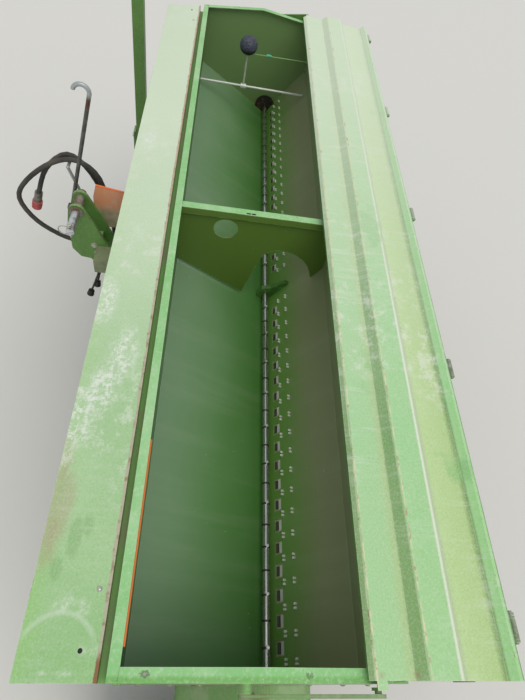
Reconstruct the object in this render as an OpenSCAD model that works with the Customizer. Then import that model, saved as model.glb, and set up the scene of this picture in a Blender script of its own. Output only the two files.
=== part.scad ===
/* [Hopper] */
// Length of the hopper over its two end walls
hopper_l = 2500; // [2300:10:2700]
// Height of the hopper's front rim above the ground
rim_z = 1380; // [1350:5:1450]
// Depth of the hopper from front rim to rear rim
hopper_d = 525; // [500:5:560]
// Thickness of the hopper's sheets
wall_t = 3; // [2:0.5:4]
// Width of the folded rim
rim_w = 20; // [16:1:24]
// Height of the rim's outer skirt
rim_skirt = 22; // [16:1:30]
// Depth of the upright front wall
front_drop = 243; // [220:1:260]
// Depth of the upright rear wall
rear_drop = 204; // [190:1:215]
// Depth of the trough's bottom edge
trough_drop = 447; // [430:1:460]
// Distance of the trough's bottom edge behind the front rim
trough_in = 346; // [335:1:355]
// Height of the end walls' peak over their ends
gable_h = 30; // [20:1:31]
// Place of the partition along the hopper
divider_x = -63; // [-64:1:-62]

/* [Seed outlets] */
// Number of outlets on each side of the middle
side_outlets = 19; // [19]
// Distance from one outlet to the next
outlet_pitch = 59.3; // [58:0.1:60]
// Distance of the first outlet from the middle
first_outlet = 106.5; // [106:0.1:107]
// Width of one metering unit
unit_w = 50; // [46:1:52]
// Diameter of the metering wheel's casing
casing_d = 60; // [56:1:62]
// Diameter of the metering shaft
meter_shaft_d = 20; // [16:1:24]
// Diameter of the agitator shaft
agitator_d = 20; // [16:1:22]
// Length of an agitator pin from tip to tip
agitator_pin = 44; // [36:1:45]

/* [Rows] */
// Number of coulters
rows = 20; // [20]
// Distance between two rows
row_pitch = 125; // [120:1:125]
// Distance between the three ranks of coulters
rank_step = 190; // [180:1:195]
// Diameter of a seed tube
tube_d = 34; // [28:1:34]

/* [Frame] */
// Side of the main beam's square section
beam = 100; // [90:1:110]
// Height of the main beam's middle
beam_z = 610; // [600:1:620]
// Height of the lower hitch pins
hitch_z = 570; // [565:1:575]
// Distance of the top link's pin over the lower pins
mast_h = 696; // [690:1:702]
// Distance between the middles of the lower brackets
hitch_spread = 870; // [850:1:900]
// Diameter of the lower hitch pins
hitch_pin_d = 28.4; // [28:0.1:28.7]
// Diameter of the top link's pin
top_pin_d = 25.4; // [25:0.1:25.5]
// Thickness of the side plates
plate_t = 10; // [8:1:12]

/* [Wheels] */
// Diameter of the tyres
tyre_d = 740; // [720:5:745]
// Width of the tyres
tyre_w = 155; // [150:1:160]
// Diameter of the rims
rim_d = 406; // [400:1:410]
// Diameter of the stub axles
axle_d = 44; // [40:1:46]
// Height of the tyres' lugs
lug_h = 12; // [8:1:14]

/* [Lid] */
// Thickness of the lid's sheets
lid_t = 1.5; // [1:0.1:2]

/* [Marker] */
// Length of the marker arm from pivot to disc
marker_l = 1420; // [1380:5:1440]
// Diameter of the marker disc
marker_disc_d = 350; // [320:5:360]

/* [Hidden] */
$fn = 48;

// Running clearance of shafts and pins, on the diameter
fit = 0.1;
// Play between pieces that pass each other beside a pivot
play = 0.3;
half_l = hopper_l / 2;
end_in = half_l - wall_t;
// Place of the hopper's front rim
hop_y = 400;
wall_in = 12;
rear_in = 21;

green = [0.13, 0.33, 0.16];
orange = [0.86, 0.36, 0.12];
steel = [0.62, 0.62, 0.60];
black = [0.09, 0.09, 0.09];
cream = [0.80, 0.76, 0.62];
rubber = [0.13, 0.13, 0.13];

// Plane geometry of folded sheets, in (y, z)
function unit(v) = v / norm(v);
function left_of(a, b) = let (d = unit(b - a)) [-d[1], d[0]];
function mitre(a, b, c, t) =
    let (n1 = left_of(a, b), n2 = left_of(b, c), m = unit(n1 + n2)) b + m * (t / (m * n1));
function offset_path(p, t) =
    [for (i = [0 : len(p) - 1])
        i == 0 ? p[0] + t * left_of(p[0], p[1]) :
        i == len(p) - 1 ? p[i] + t * left_of(p[i - 1], p[i]) :
        mitre(p[i - 1], p[i], p[i + 1], t)];
function reversed(p) = [for (i = [len(p) - 1 : -1 : 0]) p[i]];
function strip(p, t) = concat(p, reversed(offset_path(p, t)));
function between(a, b, f) = a + (b - a) * f;

// A profile in (y, z), drawn out along x
module along_x(x0, x1) {
    translate([x0, 0, 0]) rotate([90, 0, 90]) linear_extrude(x1 - x0) children();
}

// A profile in (x, z), drawn out along y
module along_y(y0, y1) {
    translate([0, y1, 0]) rotate([90, 0, 0]) linear_extrude(y1 - y0) children();
}

module bar_x(x0, x1, p, d) {
    translate([x0, p[0], p[1]]) rotate([0, 90, 0]) cylinder(h = x1 - x0, d = d);
}

module bar_y(y0, y1, p, d) {
    translate([p[0], y1, p[1]]) rotate([90, 0, 0]) cylinder(h = y1 - y0, d = d);
}

module rod(a, b, d) {
    v = b - a;
    translate(a) rotate([0, acos(v[2] / norm(v)), atan2(v[1], v[0])]) cylinder(h = norm(v), d = d);
}

module box(lo, hi) {
    translate(lo) cube(hi - lo);
}

// A flat link with round ends between two points of a (y, z) plane
function arc(c, r, a0, a1, n) = [for (k = [0 : n]) c + r * [cos(a0 + (a1 - a0) * k / n), sin(a0 + (a1 - a0) * k / n)]];
function link_outline(a, b, d) =
    let (t = atan2(b[1] - a[1], b[0] - a[0]))
    concat(arc(b, d / 2, t - 90, t + 90, 10), arc(a, d / 2, t + 90, t + 270, 10));

module link_x(x0, x1, a, b, d) {
    along_x(x0, x1) polygon(link_outline(a, b, d));
}

// Tubes swept along points
function carried(u, t) = unit(u - t * (u * t));
function sides(ts, u, i = 0) =
    i >= len(ts) ? [] : let (w = carried(u, ts[i])) concat([w], sides(ts, w, i + 1));
function inner_tangents(p) = [for (i = [1 : len(p) - 2]) unit(p[i + 1] - p[i - 1])];
function tangents(p, t0, t1) = concat([t0], inner_tangents(p), [t1]);

module sweep(p, t0, t1, d, n) {
    ts = tangents(p, t0, t1);
    us = sides(ts, abs(t0[0]) > 0.9 ? [0, 1, 0] : [1, 0, 0]);
    m = len(p);
    pts = [for (i = [0 : m - 1]) for (k = [0 : n - 1])
        let (w = cross(ts[i], us[i])) p[i] + d / 2 * (cos(360 * k / n) * us[i] + sin(360 * k / n) * w)];
    skin = [for (i = [0 : m - 2]) for (k = [0 : n - 1])
        [i * n + k, (i + 1) * n + k, (i + 1) * n + (k + 1) % n, i * n + (k + 1) % n]];
    first = [for (k = [0 : n - 1]) k];
    last = [for (k = [n - 1 : -1 : 0]) (m - 1) * n + k];
    polyhedron(points = pts, faces = concat(skin, [first], [last]), convexity = 4);
}

function bezier(a, b, c, d, t) =
    a * pow(1 - t, 3) + 3 * b * t * pow(1 - t, 2) + 3 * c * t * t * (1 - t) + d * pow(t, 3);
function spline_at(p, i, t) =
    let (a = p[max(i - 1, 0)], b = p[i], c = p[i + 1], d = p[min(i + 2, len(p) - 1)])
    0.5 * (2 * b + (c - a) * t + (2 * a - 5 * b + 4 * c - d) * t * t + (3 * b - a - 3 * c + d) * t * t * t);
function spline(p, n) =
    concat([for (i = [0 : len(p) - 2]) for (k = [0 : n - 1]) spline_at(p, i, k / n)], [p[len(p) - 1]]);

// Hopper section, in (y, z) from the outer top edge of the front rim
hop = [[-wall_in, -wall_t],
       [-wall_in, -front_drop],
       [-trough_in, -trough_drop],
       [rear_in - hopper_d, -rear_drop],
       [rear_in - hopper_d, -wall_t]];
hop_out = offset_path(hop, wall_t);
hop_lap = offset_path(hop, wall_t + 6);
module at_hopper() {
    translate([0, hop_y, rim_z]) children();
}
function in_place(p) = [p[0] + hop_y, p[1] + rim_z];
function front_slope(y) = hop[1][1] + (y - hop[1][0]) / (hop[2][0] - hop[1][0]) * (hop[2][1] - hop[1][1]);
function rear_slope(y) = hop[3][1] + (y - hop[3][0]) / (hop[2][0] - hop[3][0]) * (hop[2][1] - hop[3][1]);
function gable(y) = gable_h * (1 - abs(y + hopper_d / 2) / (hopper_d / 2));

// Places on the rear slope and below it
agitator = [-340, -404];
agitator_g = in_place(agitator);
meter_out = 37;
meter_foot = between(hop_out[3], hop_out[2], 0.81);
slope_n = left_of(hop[2], hop[3]);
slope_a = atan2(-slope_n[0], slope_n[1]);
meter = in_place(meter_foot + meter_out * slope_n);
funnel_top = meter[1] - casing_d / 2 - 6;
funnel_h = 70;
funnel_bottom = funnel_top - funnel_h;
outlets = [for (s = [-1, 1]) for (k = [0 : side_outlets - 1]) s * (first_outlet + outlet_pitch * k)];
function row_x(i) = (i - (rows - 1) / 2) * row_pitch;
function side_of(i) = row_x(i) < 0 ? -1 : 1;
function outlet_x(i) =
    side_of(i) * (first_outlet + outlet_pitch * 2 * floor(abs(row_x(i)) / row_pitch));

// Frame places, in (y, z)
plate_x = half_l - 28;
beam_c = [380, beam_z];
rail = 60;
rail_c = [250, 520];
press_c = [60, 700];
press_d = 48;
axle_c = [200, tyre_d / 2];
hitch_c = [680, hitch_z];
top_c = [703, hitch_z + mast_h];
beam_front = beam_c[0] + beam / 2;
beam_back = beam_c[0] - beam / 2;
beam_top = beam_z + beam / 2;

module front_profile() {
    polygon([[0, 0], [-rim_w, 0], [-rim_w, -wall_t], hop[0], hop[1], hop_out[1], hop_out[0],
             [-wall_t, -wall_t], [-wall_t, -rim_skirt], [0, -rim_skirt]]);
}

module hopper_front_wall() {
    color(green) at_hopper() along_x(-end_in, end_in) front_profile();
}

module slope_sheet(i) {
    at_hopper() along_x(-end_in, end_in)
        polygon([hop[i], hop[i + 1], hop_out[i + 1], hop_out[i]]);
}

module hopper_front_slope() {
    color(green) slope_sheet(1);
}

// Frame on the outer face of the rear slope: y runs up the slope, z away from it
module on_slope(x) {
    translate([x, hop_y + meter_foot[0], rim_z + meter_foot[1]]) rotate([slope_a, 0, 0]) children();
}

module outlet_mouths() {
    mouth = [34, 26];
    for (x = outlets)
        on_slope(x) translate([-mouth[0] / 2, -mouth[1] / 2, -wall_t - 1])
            cube([mouth[0], mouth[1], wall_t + 2]);
}

module hopper_rear_slope() {
    color(green) difference() {
        slope_sheet(2);
        outlet_mouths();
    }
}

module hopper_rear_wall() {
    y = -hopper_d;
    color(green) at_hopper() along_x(-end_in, end_in)
        polygon([[y + rear_in, 0], [y, 0], [y, -rim_skirt], [y + wall_t, -rim_skirt],
                 [y + wall_t, -wall_t], hop_out[4], hop_out[3], hop[3], hop[4]]);
}

module hopper_end(side) {
    y = -hopper_d;
    top = [[0, 0], [y / 2, gable_h], [y, 0]];
    edge = [[-rim_w, gable(-rim_w)], [y / 2, gable_h], [y + rear_in, gable(y + rear_in)],
            [y + rear_in, gable(y + rear_in) - wall_t], [y / 2, gable_h - wall_t],
            [-rim_w, gable(-rim_w) - wall_t]];
    lap = [[y, -rim_skirt], [hop_lap[4][0], -rim_skirt], hop_lap[3], hop_lap[2], hop_lap[1],
           [hop_lap[0][0], -rim_skirt], [0, -rim_skirt]];
    x0 = side < 0 ? -half_l : end_in;
    e0 = side < 0 ? -end_in : end_in - rim_w;
    color(green) at_hopper() difference() {
        union() {
            along_x(x0, x0 + wall_t) polygon(concat(top, lap));
            along_x(e0, e0 + rim_w) polygon(edge);
            bar_x(side < 0 ? -arm_in : half_l, side < 0 ? -half_l : arm_in, lid_a, 30);
            bar_x(side < 0 ? -arm_out - 6 : half_l, side < 0 ? -half_l : arm_out + 6, lid_a, 12);
            bar_x(side < 0 ? -arm_out - 6 : arm_out + play, side < 0 ? -arm_out - play : arm_out + 6, lid_a, 22);
        }
        bar_x(x0 - 1, x0 + wall_t + 1, agitator, agitator_d + 2);
    }
}

module hopper_end_left() {
    hopper_end(-1);
}

module hopper_end_right() {
    hopper_end(1);
}

module hopper_divider() {
    tube = 25;
    toe = [-trough_in + 101, front_slope(-trough_in + 101) + 20];
    arch = [[-trough_in + 69, -225], [-trough_in + 50, -159], [-trough_in - 6, -138]];
    leg = hop[3][0];
    bottom = concat([[-wall_in, 11 - front_drop], toe], arch,
        [[leg + 78, -165], [leg + 44, -218], [leg + 32, rear_slope(leg + 32) + 1], [leg, 3 - rear_drop]]);
    color(green) at_hopper() {
        difference() {
            along_x(divider_x - wall_t / 2, divider_x + wall_t / 2)
                polygon(concat([[hop[3][0], -wall_t - tube], [-wall_in, -wall_t - tube]], bottom));
            bar_x(divider_x - 5, divider_x + 5, [-158, -80], 76);
        }
        box([divider_x - tube / 2, hop[3][0], -wall_t - tube], [divider_x + tube / 2, -wall_in, -wall_t]);
    }
}

// Sheet in front of the hopper, a finger's gap away from its rim
shelf_gap = 15;
shelf = [[hop_lap[0][0], -30], [shelf_gap, -30], [shelf_gap, -7.5], [155.5, -26.5], [155.5, -52]];

module front_shelf() {
    color(green) at_hopper() along_x(-half_l, half_l) polygon(strip(shelf, -wall_t));
}

module shelf_braces() {
    under = offset_path(shelf, -wall_t);
    brace_t = 6;
    color(green) at_hopper()
        for (x = [-2, -1, 0, 1, 2] * (half_l - 100) / 2)
            along_x(x - brace_t / 2, x + brace_t / 2)
                polygon(concat([[hop_out[0][0], -170], [hop_out[0][0], under[0][1]]], under, [[20, -170]]));
}

// Lid linkage: hinge on the rear rim, hinge between the leaves, arm and arm bolt
lid_r = [-hopper_d + 12.5, 10];
lid_p_open = lid_r + [-229.5, 12];
lid_l = norm(lid_p_open - lid_r);
lid_p_rise = 35;
lid_p_shut = lid_r + [sqrt(lid_l * lid_l - lid_p_rise * lid_p_rise), lid_p_rise];
leaf_open_a = atan2(lid_p_open[1] - lid_r[1], lid_p_open[0] - lid_r[0]);
lid_b_local = [282, -4];
lid_a = [-235.2, -20];
lid_b = lid_p_open + lid_b_local;
hinge_xs = [-2, -1, 0, 1, 2] * (half_l - 90) / 2;
knuckle_w = 40;
knuckle_d = 14;
lid_pin_d = 8;
lug_t = 5;
leaf_end = half_l - 4;
ear_in = half_l + 5.3;
ear_out = ear_in + 4.7;
arm_in = ear_out + 5;
arm_out = arm_in + 6;

module hinge_lugs(p, base) {
    for (x = hinge_xs) {
        for (s = [-1, 1]) {
            x0 = x + s * (knuckle_w / 2 + play + lug_t / 2) - lug_t / 2;
            along_x(x0, x0 + lug_t) polygon(base);
            bar_x(x0, x0 + lug_t, p, knuckle_d);
        }
        bar_x(x - knuckle_w / 2 - play - lug_t - 3, x + knuckle_w / 2 + play + lug_t + 3, p, lid_pin_d);
    }
}

module knuckles(p, web) {
    for (x = hinge_xs)
        difference() {
            union() {
                bar_x(x - knuckle_w / 2, x + knuckle_w / 2, p, knuckle_d);
                along_x(x - knuckle_w / 2, x + knuckle_w / 2) polygon(web);
            }
            bar_x(x - knuckle_w, x + knuckle_w, p, lid_pin_d + fit);
        }
}

module lid_hinge_brackets() {
    foot = [[lid_r[0] - 7, 0], [lid_r[0] + 7, 0], [lid_r[0] + 7, lid_r[1]], [lid_r[0] - 7, lid_r[1]]];
    color(green) at_hopper() hinge_lugs(lid_r, foot);
}

// Rear leaf, drawn shut along +y from its hinge and turned open
module lid_rear_leaf() {
    skin = [[20, 2], [20, 10], [lid_l - 9, 10]];
    color(green) at_hopper() translate([0, lid_r[0], lid_r[1]]) rotate([leaf_open_a, 0, 0]) union() {
        along_x(-leaf_end, leaf_end) polygon(strip(skin, -lid_t));
        knuckles([0, 0], [[2, 3], [21, 3], [21, 9], [2, 6.5]]);
        hinge_lugs([lid_l, 0],
            [[lid_l - 22, 9.5], [lid_l - 22, 2], [lid_l - 6, -3], [lid_l + 6, 2], [lid_l + 2, 6], [lid_l - 10, 9.5]]);
    }
}

leaf_skin = [[9, 4], [9, 9], [20, 14], [35, -0.5], [117, 5], [133, 23], [196, 23], [215, 8], [290, 10],
             [299, 4], [299, -5]];
leaf_under = offset_path(leaf_skin, -lid_t);
lip_from = 8;
ear = [268, 287];

module lid_front_leaf() {
    color(green) at_hopper() translate([0, lid_p_open[0], lid_p_open[1]]) union() {
        along_x(-leaf_end, leaf_end)
            polygon(concat([for (i = [0 : lip_from]) leaf_skin[i]], [for (i = [lip_from : -1 : 0]) leaf_under[i]]));
        knuckles([0, 0], [[0, -6.5], [36, -6.5], [36, -1.5], [30, 2], [5, 4], [0, 6]]);
        for (s = [-1, 1])
            along_x(s < 0 ? -ear_out : leaf_end - 30, s < 0 ? -leaf_end + 30 : ear_out)
                polygon([[ear[0], 7], [ear[0], 9.4], [ear[1], 9.9], [ear[1], 7]]);
    }
}

// Lip that drops between the rim and the front sheet when the lid is shut
module lid_front_edge() {
    n = len(leaf_skin) - 1;
    color(green) at_hopper() translate([0, lid_p_open[0], lid_p_open[1]])
        along_x(-leaf_end, leaf_end)
            polygon(concat([for (i = [lip_from : n]) leaf_skin[i]], [for (i = [n : -1 : lip_from]) leaf_under[i]]));
}

module lid_lugs() {
    color(green) at_hopper() translate([0, lid_p_open[0], lid_p_open[1]])
        for (s = [-1, 1]) union() {
            along_x(s < 0 ? -ear_out : ear_in, s < 0 ? -ear_in : ear_out)
                polygon([[ear[0], 7], [272, -8], [282, -13], [292, -8], [ear[1], 7]]);
            bar_x(s < 0 ? -arm_in + play : ear_out, s < 0 ? -ear_out : arm_in - play, lid_b_local, 12);
        }
}

module lid_arm(side) {
    x0 = side < 0 ? -arm_out : arm_in;
    color(green) at_hopper() difference() {
        link_x(x0, x0 + arm_out - arm_in, lid_a, lid_b, 26);
        bar_x(x0 - 1, x0 + arm_out - arm_in + 1, lid_a, 12 + fit);
    }
}

module lid_arm_left() {
    lid_arm(-1);
}

module lid_arm_right() {
    lid_arm(1);
}

module agitator_bearings() {
    flange_d = 96;
    flange_t = 8;
    clamp_x = -20;
    clamp_w = 16;
    clamp = [[-309, front_slope(-309)], [-trough_in, -trough_drop], [-416, rear_slope(-416)],
             [-404, rear_slope(-416) + 4], [-355, -374], [-325, -382], [-309, front_slope(-309) + 10]];
    color(black) at_hopper() difference() {
        union() {
            for (s = [-1, 1])
                intersection() {
                    bar_x(s < 0 ? -end_in : end_in - flange_t, s < 0 ? -end_in + flange_t : end_in, agitator, flange_d);
                    along_x(-half_l, half_l) polygon([hop[1], hop[2], hop[3]]);
                }
            along_x(clamp_x - clamp_w / 2, clamp_x + clamp_w / 2) polygon(clamp);
        }
        bar_x(-half_l, half_l, agitator, agitator_d + fit);
    }
}

module agitator_shaft() {
    pin_d = 8;
    xs = [for (s = [-1, 1]) for (k = [0 : 2 : side_outlets - 1]) s * (first_outlet + outlet_pitch * k)];
    color(steel) at_hopper() union() {
        bar_x(-half_l - 20, half_l + 14, agitator, agitator_d);
        for (x = xs)
            translate([x, agitator[0], agitator[1] - agitator_pin / 2]) cylinder(h = agitator_pin, d = pin_d);
    }
}

module metering_unit(x) {
    neck = 46;
    chute = [44, 36];
    flange = [56, 88, 4];
    difference() {
        union() {
            on_slope(x) {
                translate([-chute[0] / 2, -neck / 2, 0]) cube([chute[0], neck, meter_out]);
                translate([-flange[0] / 2, -neck / 2, 0]) cube(flange);
            }
            bar_x(x - unit_w / 2, x + unit_w / 2, meter, casing_d);
            box([x - chute[0] / 2, meter[0] - chute[1] / 2, funnel_top],
                [x + chute[0] / 2, meter[0] + chute[1] / 2, meter[1]]);
        }
        bar_x(x - unit_w, x + unit_w, meter, meter_shaft_d + 1);
    }
}

module metering_units() {
    color(cream) for (x = outlets) metering_unit(x);
}

bearing_x = first_outlet + outlet_pitch * (side_outlets - 1) + unit_w / 2 + 6;
bearing_t = 8;

module metering_shaft() {
    color(steel) bar_x(-half_l - 20, bearing_x + 20, meter, meter_shaft_d);
}

// End plates that carry the metering shaft and the funnels' bar
module metering_bearings() {
    upper = in_place(between(hop_out[3], hop_out[2], 0.62));
    lower = in_place(between(hop_out[3], hop_out[2], 0.96));
    low = funnel_top - 24;
    color(green) for (s = [-1, 1])
        difference() {
            along_x(s < 0 ? -bearing_x - bearing_t : bearing_x, s < 0 ? -bearing_x : bearing_x + bearing_t)
                polygon([upper, lower, [meter[0] + 12, low], [meter[0] - 34, low], [meter[0] - 34, meter[1] + 14]]);
            bar_x(-half_l, half_l, meter, meter_shaft_d + fit);
        }
}

module seed_funnels() {
    r_top = 22;
    r_low = 15;
    skin = 2;
    color(black) difference() {
        union() {
            for (x = outlets)
                translate([x, meter[0], funnel_bottom]) cylinder(h = funnel_h, r1 = r_low, r2 = r_top);
            box([-bearing_x, meter[0] - r_top - 6, funnel_top - 18], [bearing_x, meter[0] - r_top + 4, funnel_top - 3]);
        }
        for (x = outlets)
            translate([x, meter[0], funnel_bottom - 0.01])
                cylinder(h = funnel_h + 0.02, r1 = r_low - skin, r2 = r_top - skin);
    }
}

// Coulters in three ranks
rank_y = [for (k = [0 : 2]) -140 - rank_step * k];
function rank(i) = rank_y[i % 3];
spout_z = 330;
spout_back = 45;

module seed_tubes() {
    steps = 8;
    color(black) for (i = [0 : rows - 1]) {
        a = [outlet_x(i), meter[0], funnel_bottom];
        d = [row_x(i), rank(i) - spout_back, spout_z];
        b = a - [0, 0, 170];
        c = d + [0, 0, 210];
        sweep([for (k = [0 : steps]) bezier(a, b, c, d, k / steps)], [0, 0, -1], [0, 0, -1], tube_d, 10);
    }
}

arm_w = 42;
eye_d = 16;
arm_pivot = [rail_c[0] - rail / 2 - arm_w / 2 - play, rail_c[1]];
function arm_end(i) = [rank(i) + 38, 222];
function spring_eye(i) = between(arm_pivot, arm_end(i), 0.42) - left_of(arm_pivot, arm_end(i)) * (arm_w / 2 + 5);

module coulter(i) {
    y = rank(i);
    x = row_x(i);
    shoe_t = 14;
    arm_t = 12;
    shoe = [[y - 70, 40], [y - 20, 6], [y + 15, 0], [y + 60, 22], [y + 88, 80], [y + 96, 160],
            [y + 70, 245], [y + 5, 245], [y - 12, 150], [y - 62, 110]];
    along_x(x - shoe_t / 2, x + shoe_t / 2) polygon(shoe);
    link_x(x - arm_t / 2, x + arm_t / 2, arm_pivot, arm_end(i), arm_w);
    bar_x(x - 15, x + 15, arm_pivot, arm_w - 4);
    bar_x(x - 9, x + 9, spring_eye(i), eye_d);
    translate([x, y - spout_back, 60]) cylinder(h = spout_z - 60, d = tube_d - 4);
}

module coulters() {
    color(green) for (i = [0 : rows - 1]) union() coulter(i);
}

// Rail with two ears and a clamp plate for each coulter's arm
module coulter_rail() {
    ear_t = 8;
    ear_h = 44;
    knuckle = 15;
    lap = 6;
    back = rail_c[0] - rail / 2;
    color(green) union() {
        box([-plate_x, back, rail_c[1] - rail / 2], [plate_x, back + rail, rail_c[1] + rail / 2]);
        for (i = [0 : rows - 1]) {
            for (s = [-1, 1]) {
                x = row_x(i) + s * (knuckle + play + ear_t / 2);
                bar_x(x - ear_t / 2, x + ear_t / 2, arm_pivot, ear_h);
                box([x - ear_t / 2, arm_pivot[0], rail_c[1] - ear_h / 2], [x + ear_t / 2, back + 1, rail_c[1] + ear_h / 2]);
                bar_x(min(x, x + s * (ear_t / 2 + 9)), max(x, x + s * (ear_t / 2 + 9)), arm_pivot, 22);
            }
            box([row_x(i) - 26, back, rail_c[1] - rail / 2 - lap], [row_x(i) + 26, back + rail + lap, rail_c[1] + rail / 2 + lap]);
        }
    }
}

lever_end = [140, 735];
lever_w = 24;
lever_in = 8;
lever_t = 8;
lever_pin_d = 12;

module pressure_shaft() {
    color(green) union() {
        bar_x(-plate_x, plate_x, press_c, press_d);
        for (i = [0 : rows - 1]) {
            x = row_x(i);
            link_x(x + lever_in, x + lever_in + lever_t, press_c, lever_end, lever_w);
            bar_x(x - lever_in, x + lever_in + lever_t / 2, lever_end, lever_pin_d);
        }
    }
}

module coulter_springs() {
    color(steel) for (i = [0 : rows - 1]) {
        q = spring_eye(i);
        v = unit(q - lever_end);
        top = lever_end + v * (lever_pin_d / 2 + play);
        foot = q - v * (eye_d / 2 + play);
        a = [row_x(i), top[0], top[1]];
        b = [row_x(i), foot[0], foot[1]];
        union() {
            rod(a, b, 8);
            rod(between(a, b, 0.45), between(a, b, 0.88), 26);
        }
    }
}

module main_beam() {
    wall = 6;
    color(green) difference() {
        box([-plate_x, beam_back, beam_z - beam / 2], [plate_x, beam_front, beam_top]);
        box([-plate_x - 1, beam_back + wall, beam_z - beam / 2 + wall],
            [plate_x + 1, beam_front - wall, beam_top - wall]);
    }
}

module side_plate(side) {
    x0 = side < 0 ? -plate_x - plate_t : plate_x;
    a = in_place(between(hop_out[1], hop_out[2], 0.12));
    v = in_place(hop_out[2]);
    r = in_place(between(hop_out[2], hop_out[3], 0.30));
    color(green) difference() {
        along_x(x0, x0 + plate_t)
            polygon([a, v, r, [press_c[0] - 66, press_c[1] + 60], [press_c[0] - 40, press_c[1] - 60],
                     [axle_c[0] - 110, axle_c[1] - 20], [axle_c[0] - 60, axle_c[1] - 70],
                     [axle_c[0] + 60, axle_c[1] - 70], [beam_front - 40, beam_z - beam / 2 - 40],
                     [beam_front + 10, beam_z - beam / 2], [beam_front + 10, beam_top + 10]]);
        bar_x(x0 - 1, x0 + plate_t + 1, [200, 860], 110);
    }
}

module side_plate_left() {
    side_plate(-1);
}

module side_plate_right() {
    side_plate(1);
}

module hopper_saddles() {
    a = in_place(between(hop_out[1], hop_out[2], 0.10));
    b = in_place(between(hop_out[1], hop_out[2], 0.92));
    color(green) for (x = [-500, 500])
        along_x(x - 4, x + 4)
            polygon([a, b, [beam_back, beam_top], [beam_front, beam_top]]);
}

hub_in = half_l + 52;
hub_out = hub_in + 128;
tyre_in = half_l + 60;

module axle_stubs() {
    color(steel) for (s = [-1, 1]) {
        x0 = plate_x + plate_t;
        union() {
            bar_x(s < 0 ? -hub_out : x0, s < 0 ? -x0 : hub_out, axle_c, axle_d);
            bar_x(s < 0 ? -x0 - 8 : x0, s < 0 ? -x0 : x0 + 8, axle_c, 110);
            bar_x(s < 0 ? -hub_out - 8 : hub_out + play, s < 0 ? -hub_out - play : hub_out + 8, axle_c, 60);
            bar_x(s < 0 ? -hub_out - 8 : hub_out, s < 0 ? -hub_out : hub_out + 8, axle_c, axle_d - 14);
        }
    }
}

// Wheels, turned about x
module turned_x(side, x0) {
    translate([side * x0, axle_c[0], axle_c[1]]) rotate([0, side * 90, 0]) rotate_extrude($fn = 72) children();
}

module wheel_rim(side) {
    r = rim_d / 2;
    inset = 14;
    w = tyre_w - 2 * inset;
    disc = 78;
    bore = axle_d / 2 + fit / 2;
    holes = 6;
    color(orange) difference() {
        turned_x(side, tyre_in)
            polygon([[bore, hub_in - tyre_in], [45, hub_in - tyre_in], [45, disc - 8], [110, disc - 8], [140, disc - 26],
                     [r - 16, disc - 26], [r - 16, inset + 30], [r - 4, inset + 22], [r - 4, inset], [r + 14, inset],
                     [r + 14, inset + 3], [r, inset + 3], [r, inset + 24], [r - 12, inset + 33],
                     [r - 12, inset + w - 33], [r, inset + w - 24], [r, inset + w - 3], [r + 14, inset + w - 3],
                     [r + 14, inset + w], [r - 4, inset + w], [r - 4, inset + w - 22], [r - 16, inset + w - 30],
                     [r - 16, disc - 18], [143, disc - 18],
                     [113, disc], [45, disc], [45, hub_out - tyre_in], [bore, hub_out - tyre_in]]);
        for (k = [0 : holes - 1])
            rotate_about_axle(k * 360 / holes)
                bar_x(side < 0 ? -tyre_in - disc : tyre_in + disc - 30, side < 0 ? -tyre_in - disc + 30 : tyre_in + disc,
                      axle_c + [0, r - 40], 30);
    }
}

module rotate_about_axle(a) {
    translate([0, axle_c[0], axle_c[1]]) rotate([a, 0, 0]) translate([0, -axle_c[0], -axle_c[1]]) children();
}

// Tyre with slanted lugs on both shoulders, set half a pitch apart
lugs = 13;
lug_w = 26;
lug_slant = 36;
lug_top = tyre_d / 2 - 0.5;

module lug(side, z) {
    l = 0.46 * tyre_w;
    deep = lug_h + 2;
    translate([lug_top - deep, 0, z]) rotate([side * lug_slant, 0, 0])
        translate([0, -lug_w / 2, -l / 2]) cube([deep, lug_w, l]);
}

module tyre(side) {
    bead = rim_d / 2 + 0.3;
    inset = 18;
    ro = tyre_d / 2 - lug_h;
    half = [[bead, inset], [bead + 15, inset], [ro - 56, 0], [ro, 18]];
    far = [for (i = [len(half) - 1 : -1 : 0]) [half[i][0], tyre_w - half[i][1]]];
    lug_z = 0.36 * tyre_w;
    color(rubber) translate([side * tyre_in, axle_c[0], axle_c[1]]) rotate([0, side * 90, 0]) union() {
        rotate_extrude($fn = 72) polygon(concat(half, far));
        for (k = [0 : lugs - 1]) {
            rotate([0, 0, k * 360 / lugs]) lug(side, lug_z);
            rotate([0, 0, (k + 0.5) * 360 / lugs]) lug(-side, tyre_w - lug_z);
        }
    }
}

module wheel_rim_left() {
    wheel_rim(-1);
}

module wheel_rim_right() {
    wheel_rim(1);
}

module tyre_left() {
    tyre(-1);
}

module tyre_right() {
    tyre(1);
}

mast_in = 27;
mast_out = 37;
pin_stub = 90;
pin_collar = 6;
pin_shank_d = top_pin_d + 3;

module mast() {
    head = top_c - [0, 200];
    side_view = concat([[beam_front, beam_z - beam / 2], [beam_front + 90, beam_z - beam / 2],
            head - [50, 4], head + [8, 6], head + [32, 40], head + [32, 155]],
        arc(top_c, 25, 0, 150, 6),
        [head + [-55, 140], head + [-75, 90], [beam_front + 40, beam_top + 160], [beam_front, beam_top + 60]]);
    color(green) difference() {
        union() {
            for (s = [-1, 1])
                along_x(s < 0 ? -mast_out : mast_in, s < 0 ? -mast_in : mast_out) polygon(side_view);
            box([-mast_in, head[0] - 60, head[1] + 10], [mast_in, head[0] - 10, head[1] + 70]);
            box([-mast_in, beam_front, beam_z - 40], [mast_in, beam_front + 12, beam_z + 40]);
        }
        bar_x(-100, 100, top_c, pin_shank_d + fit);
    }
}

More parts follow.
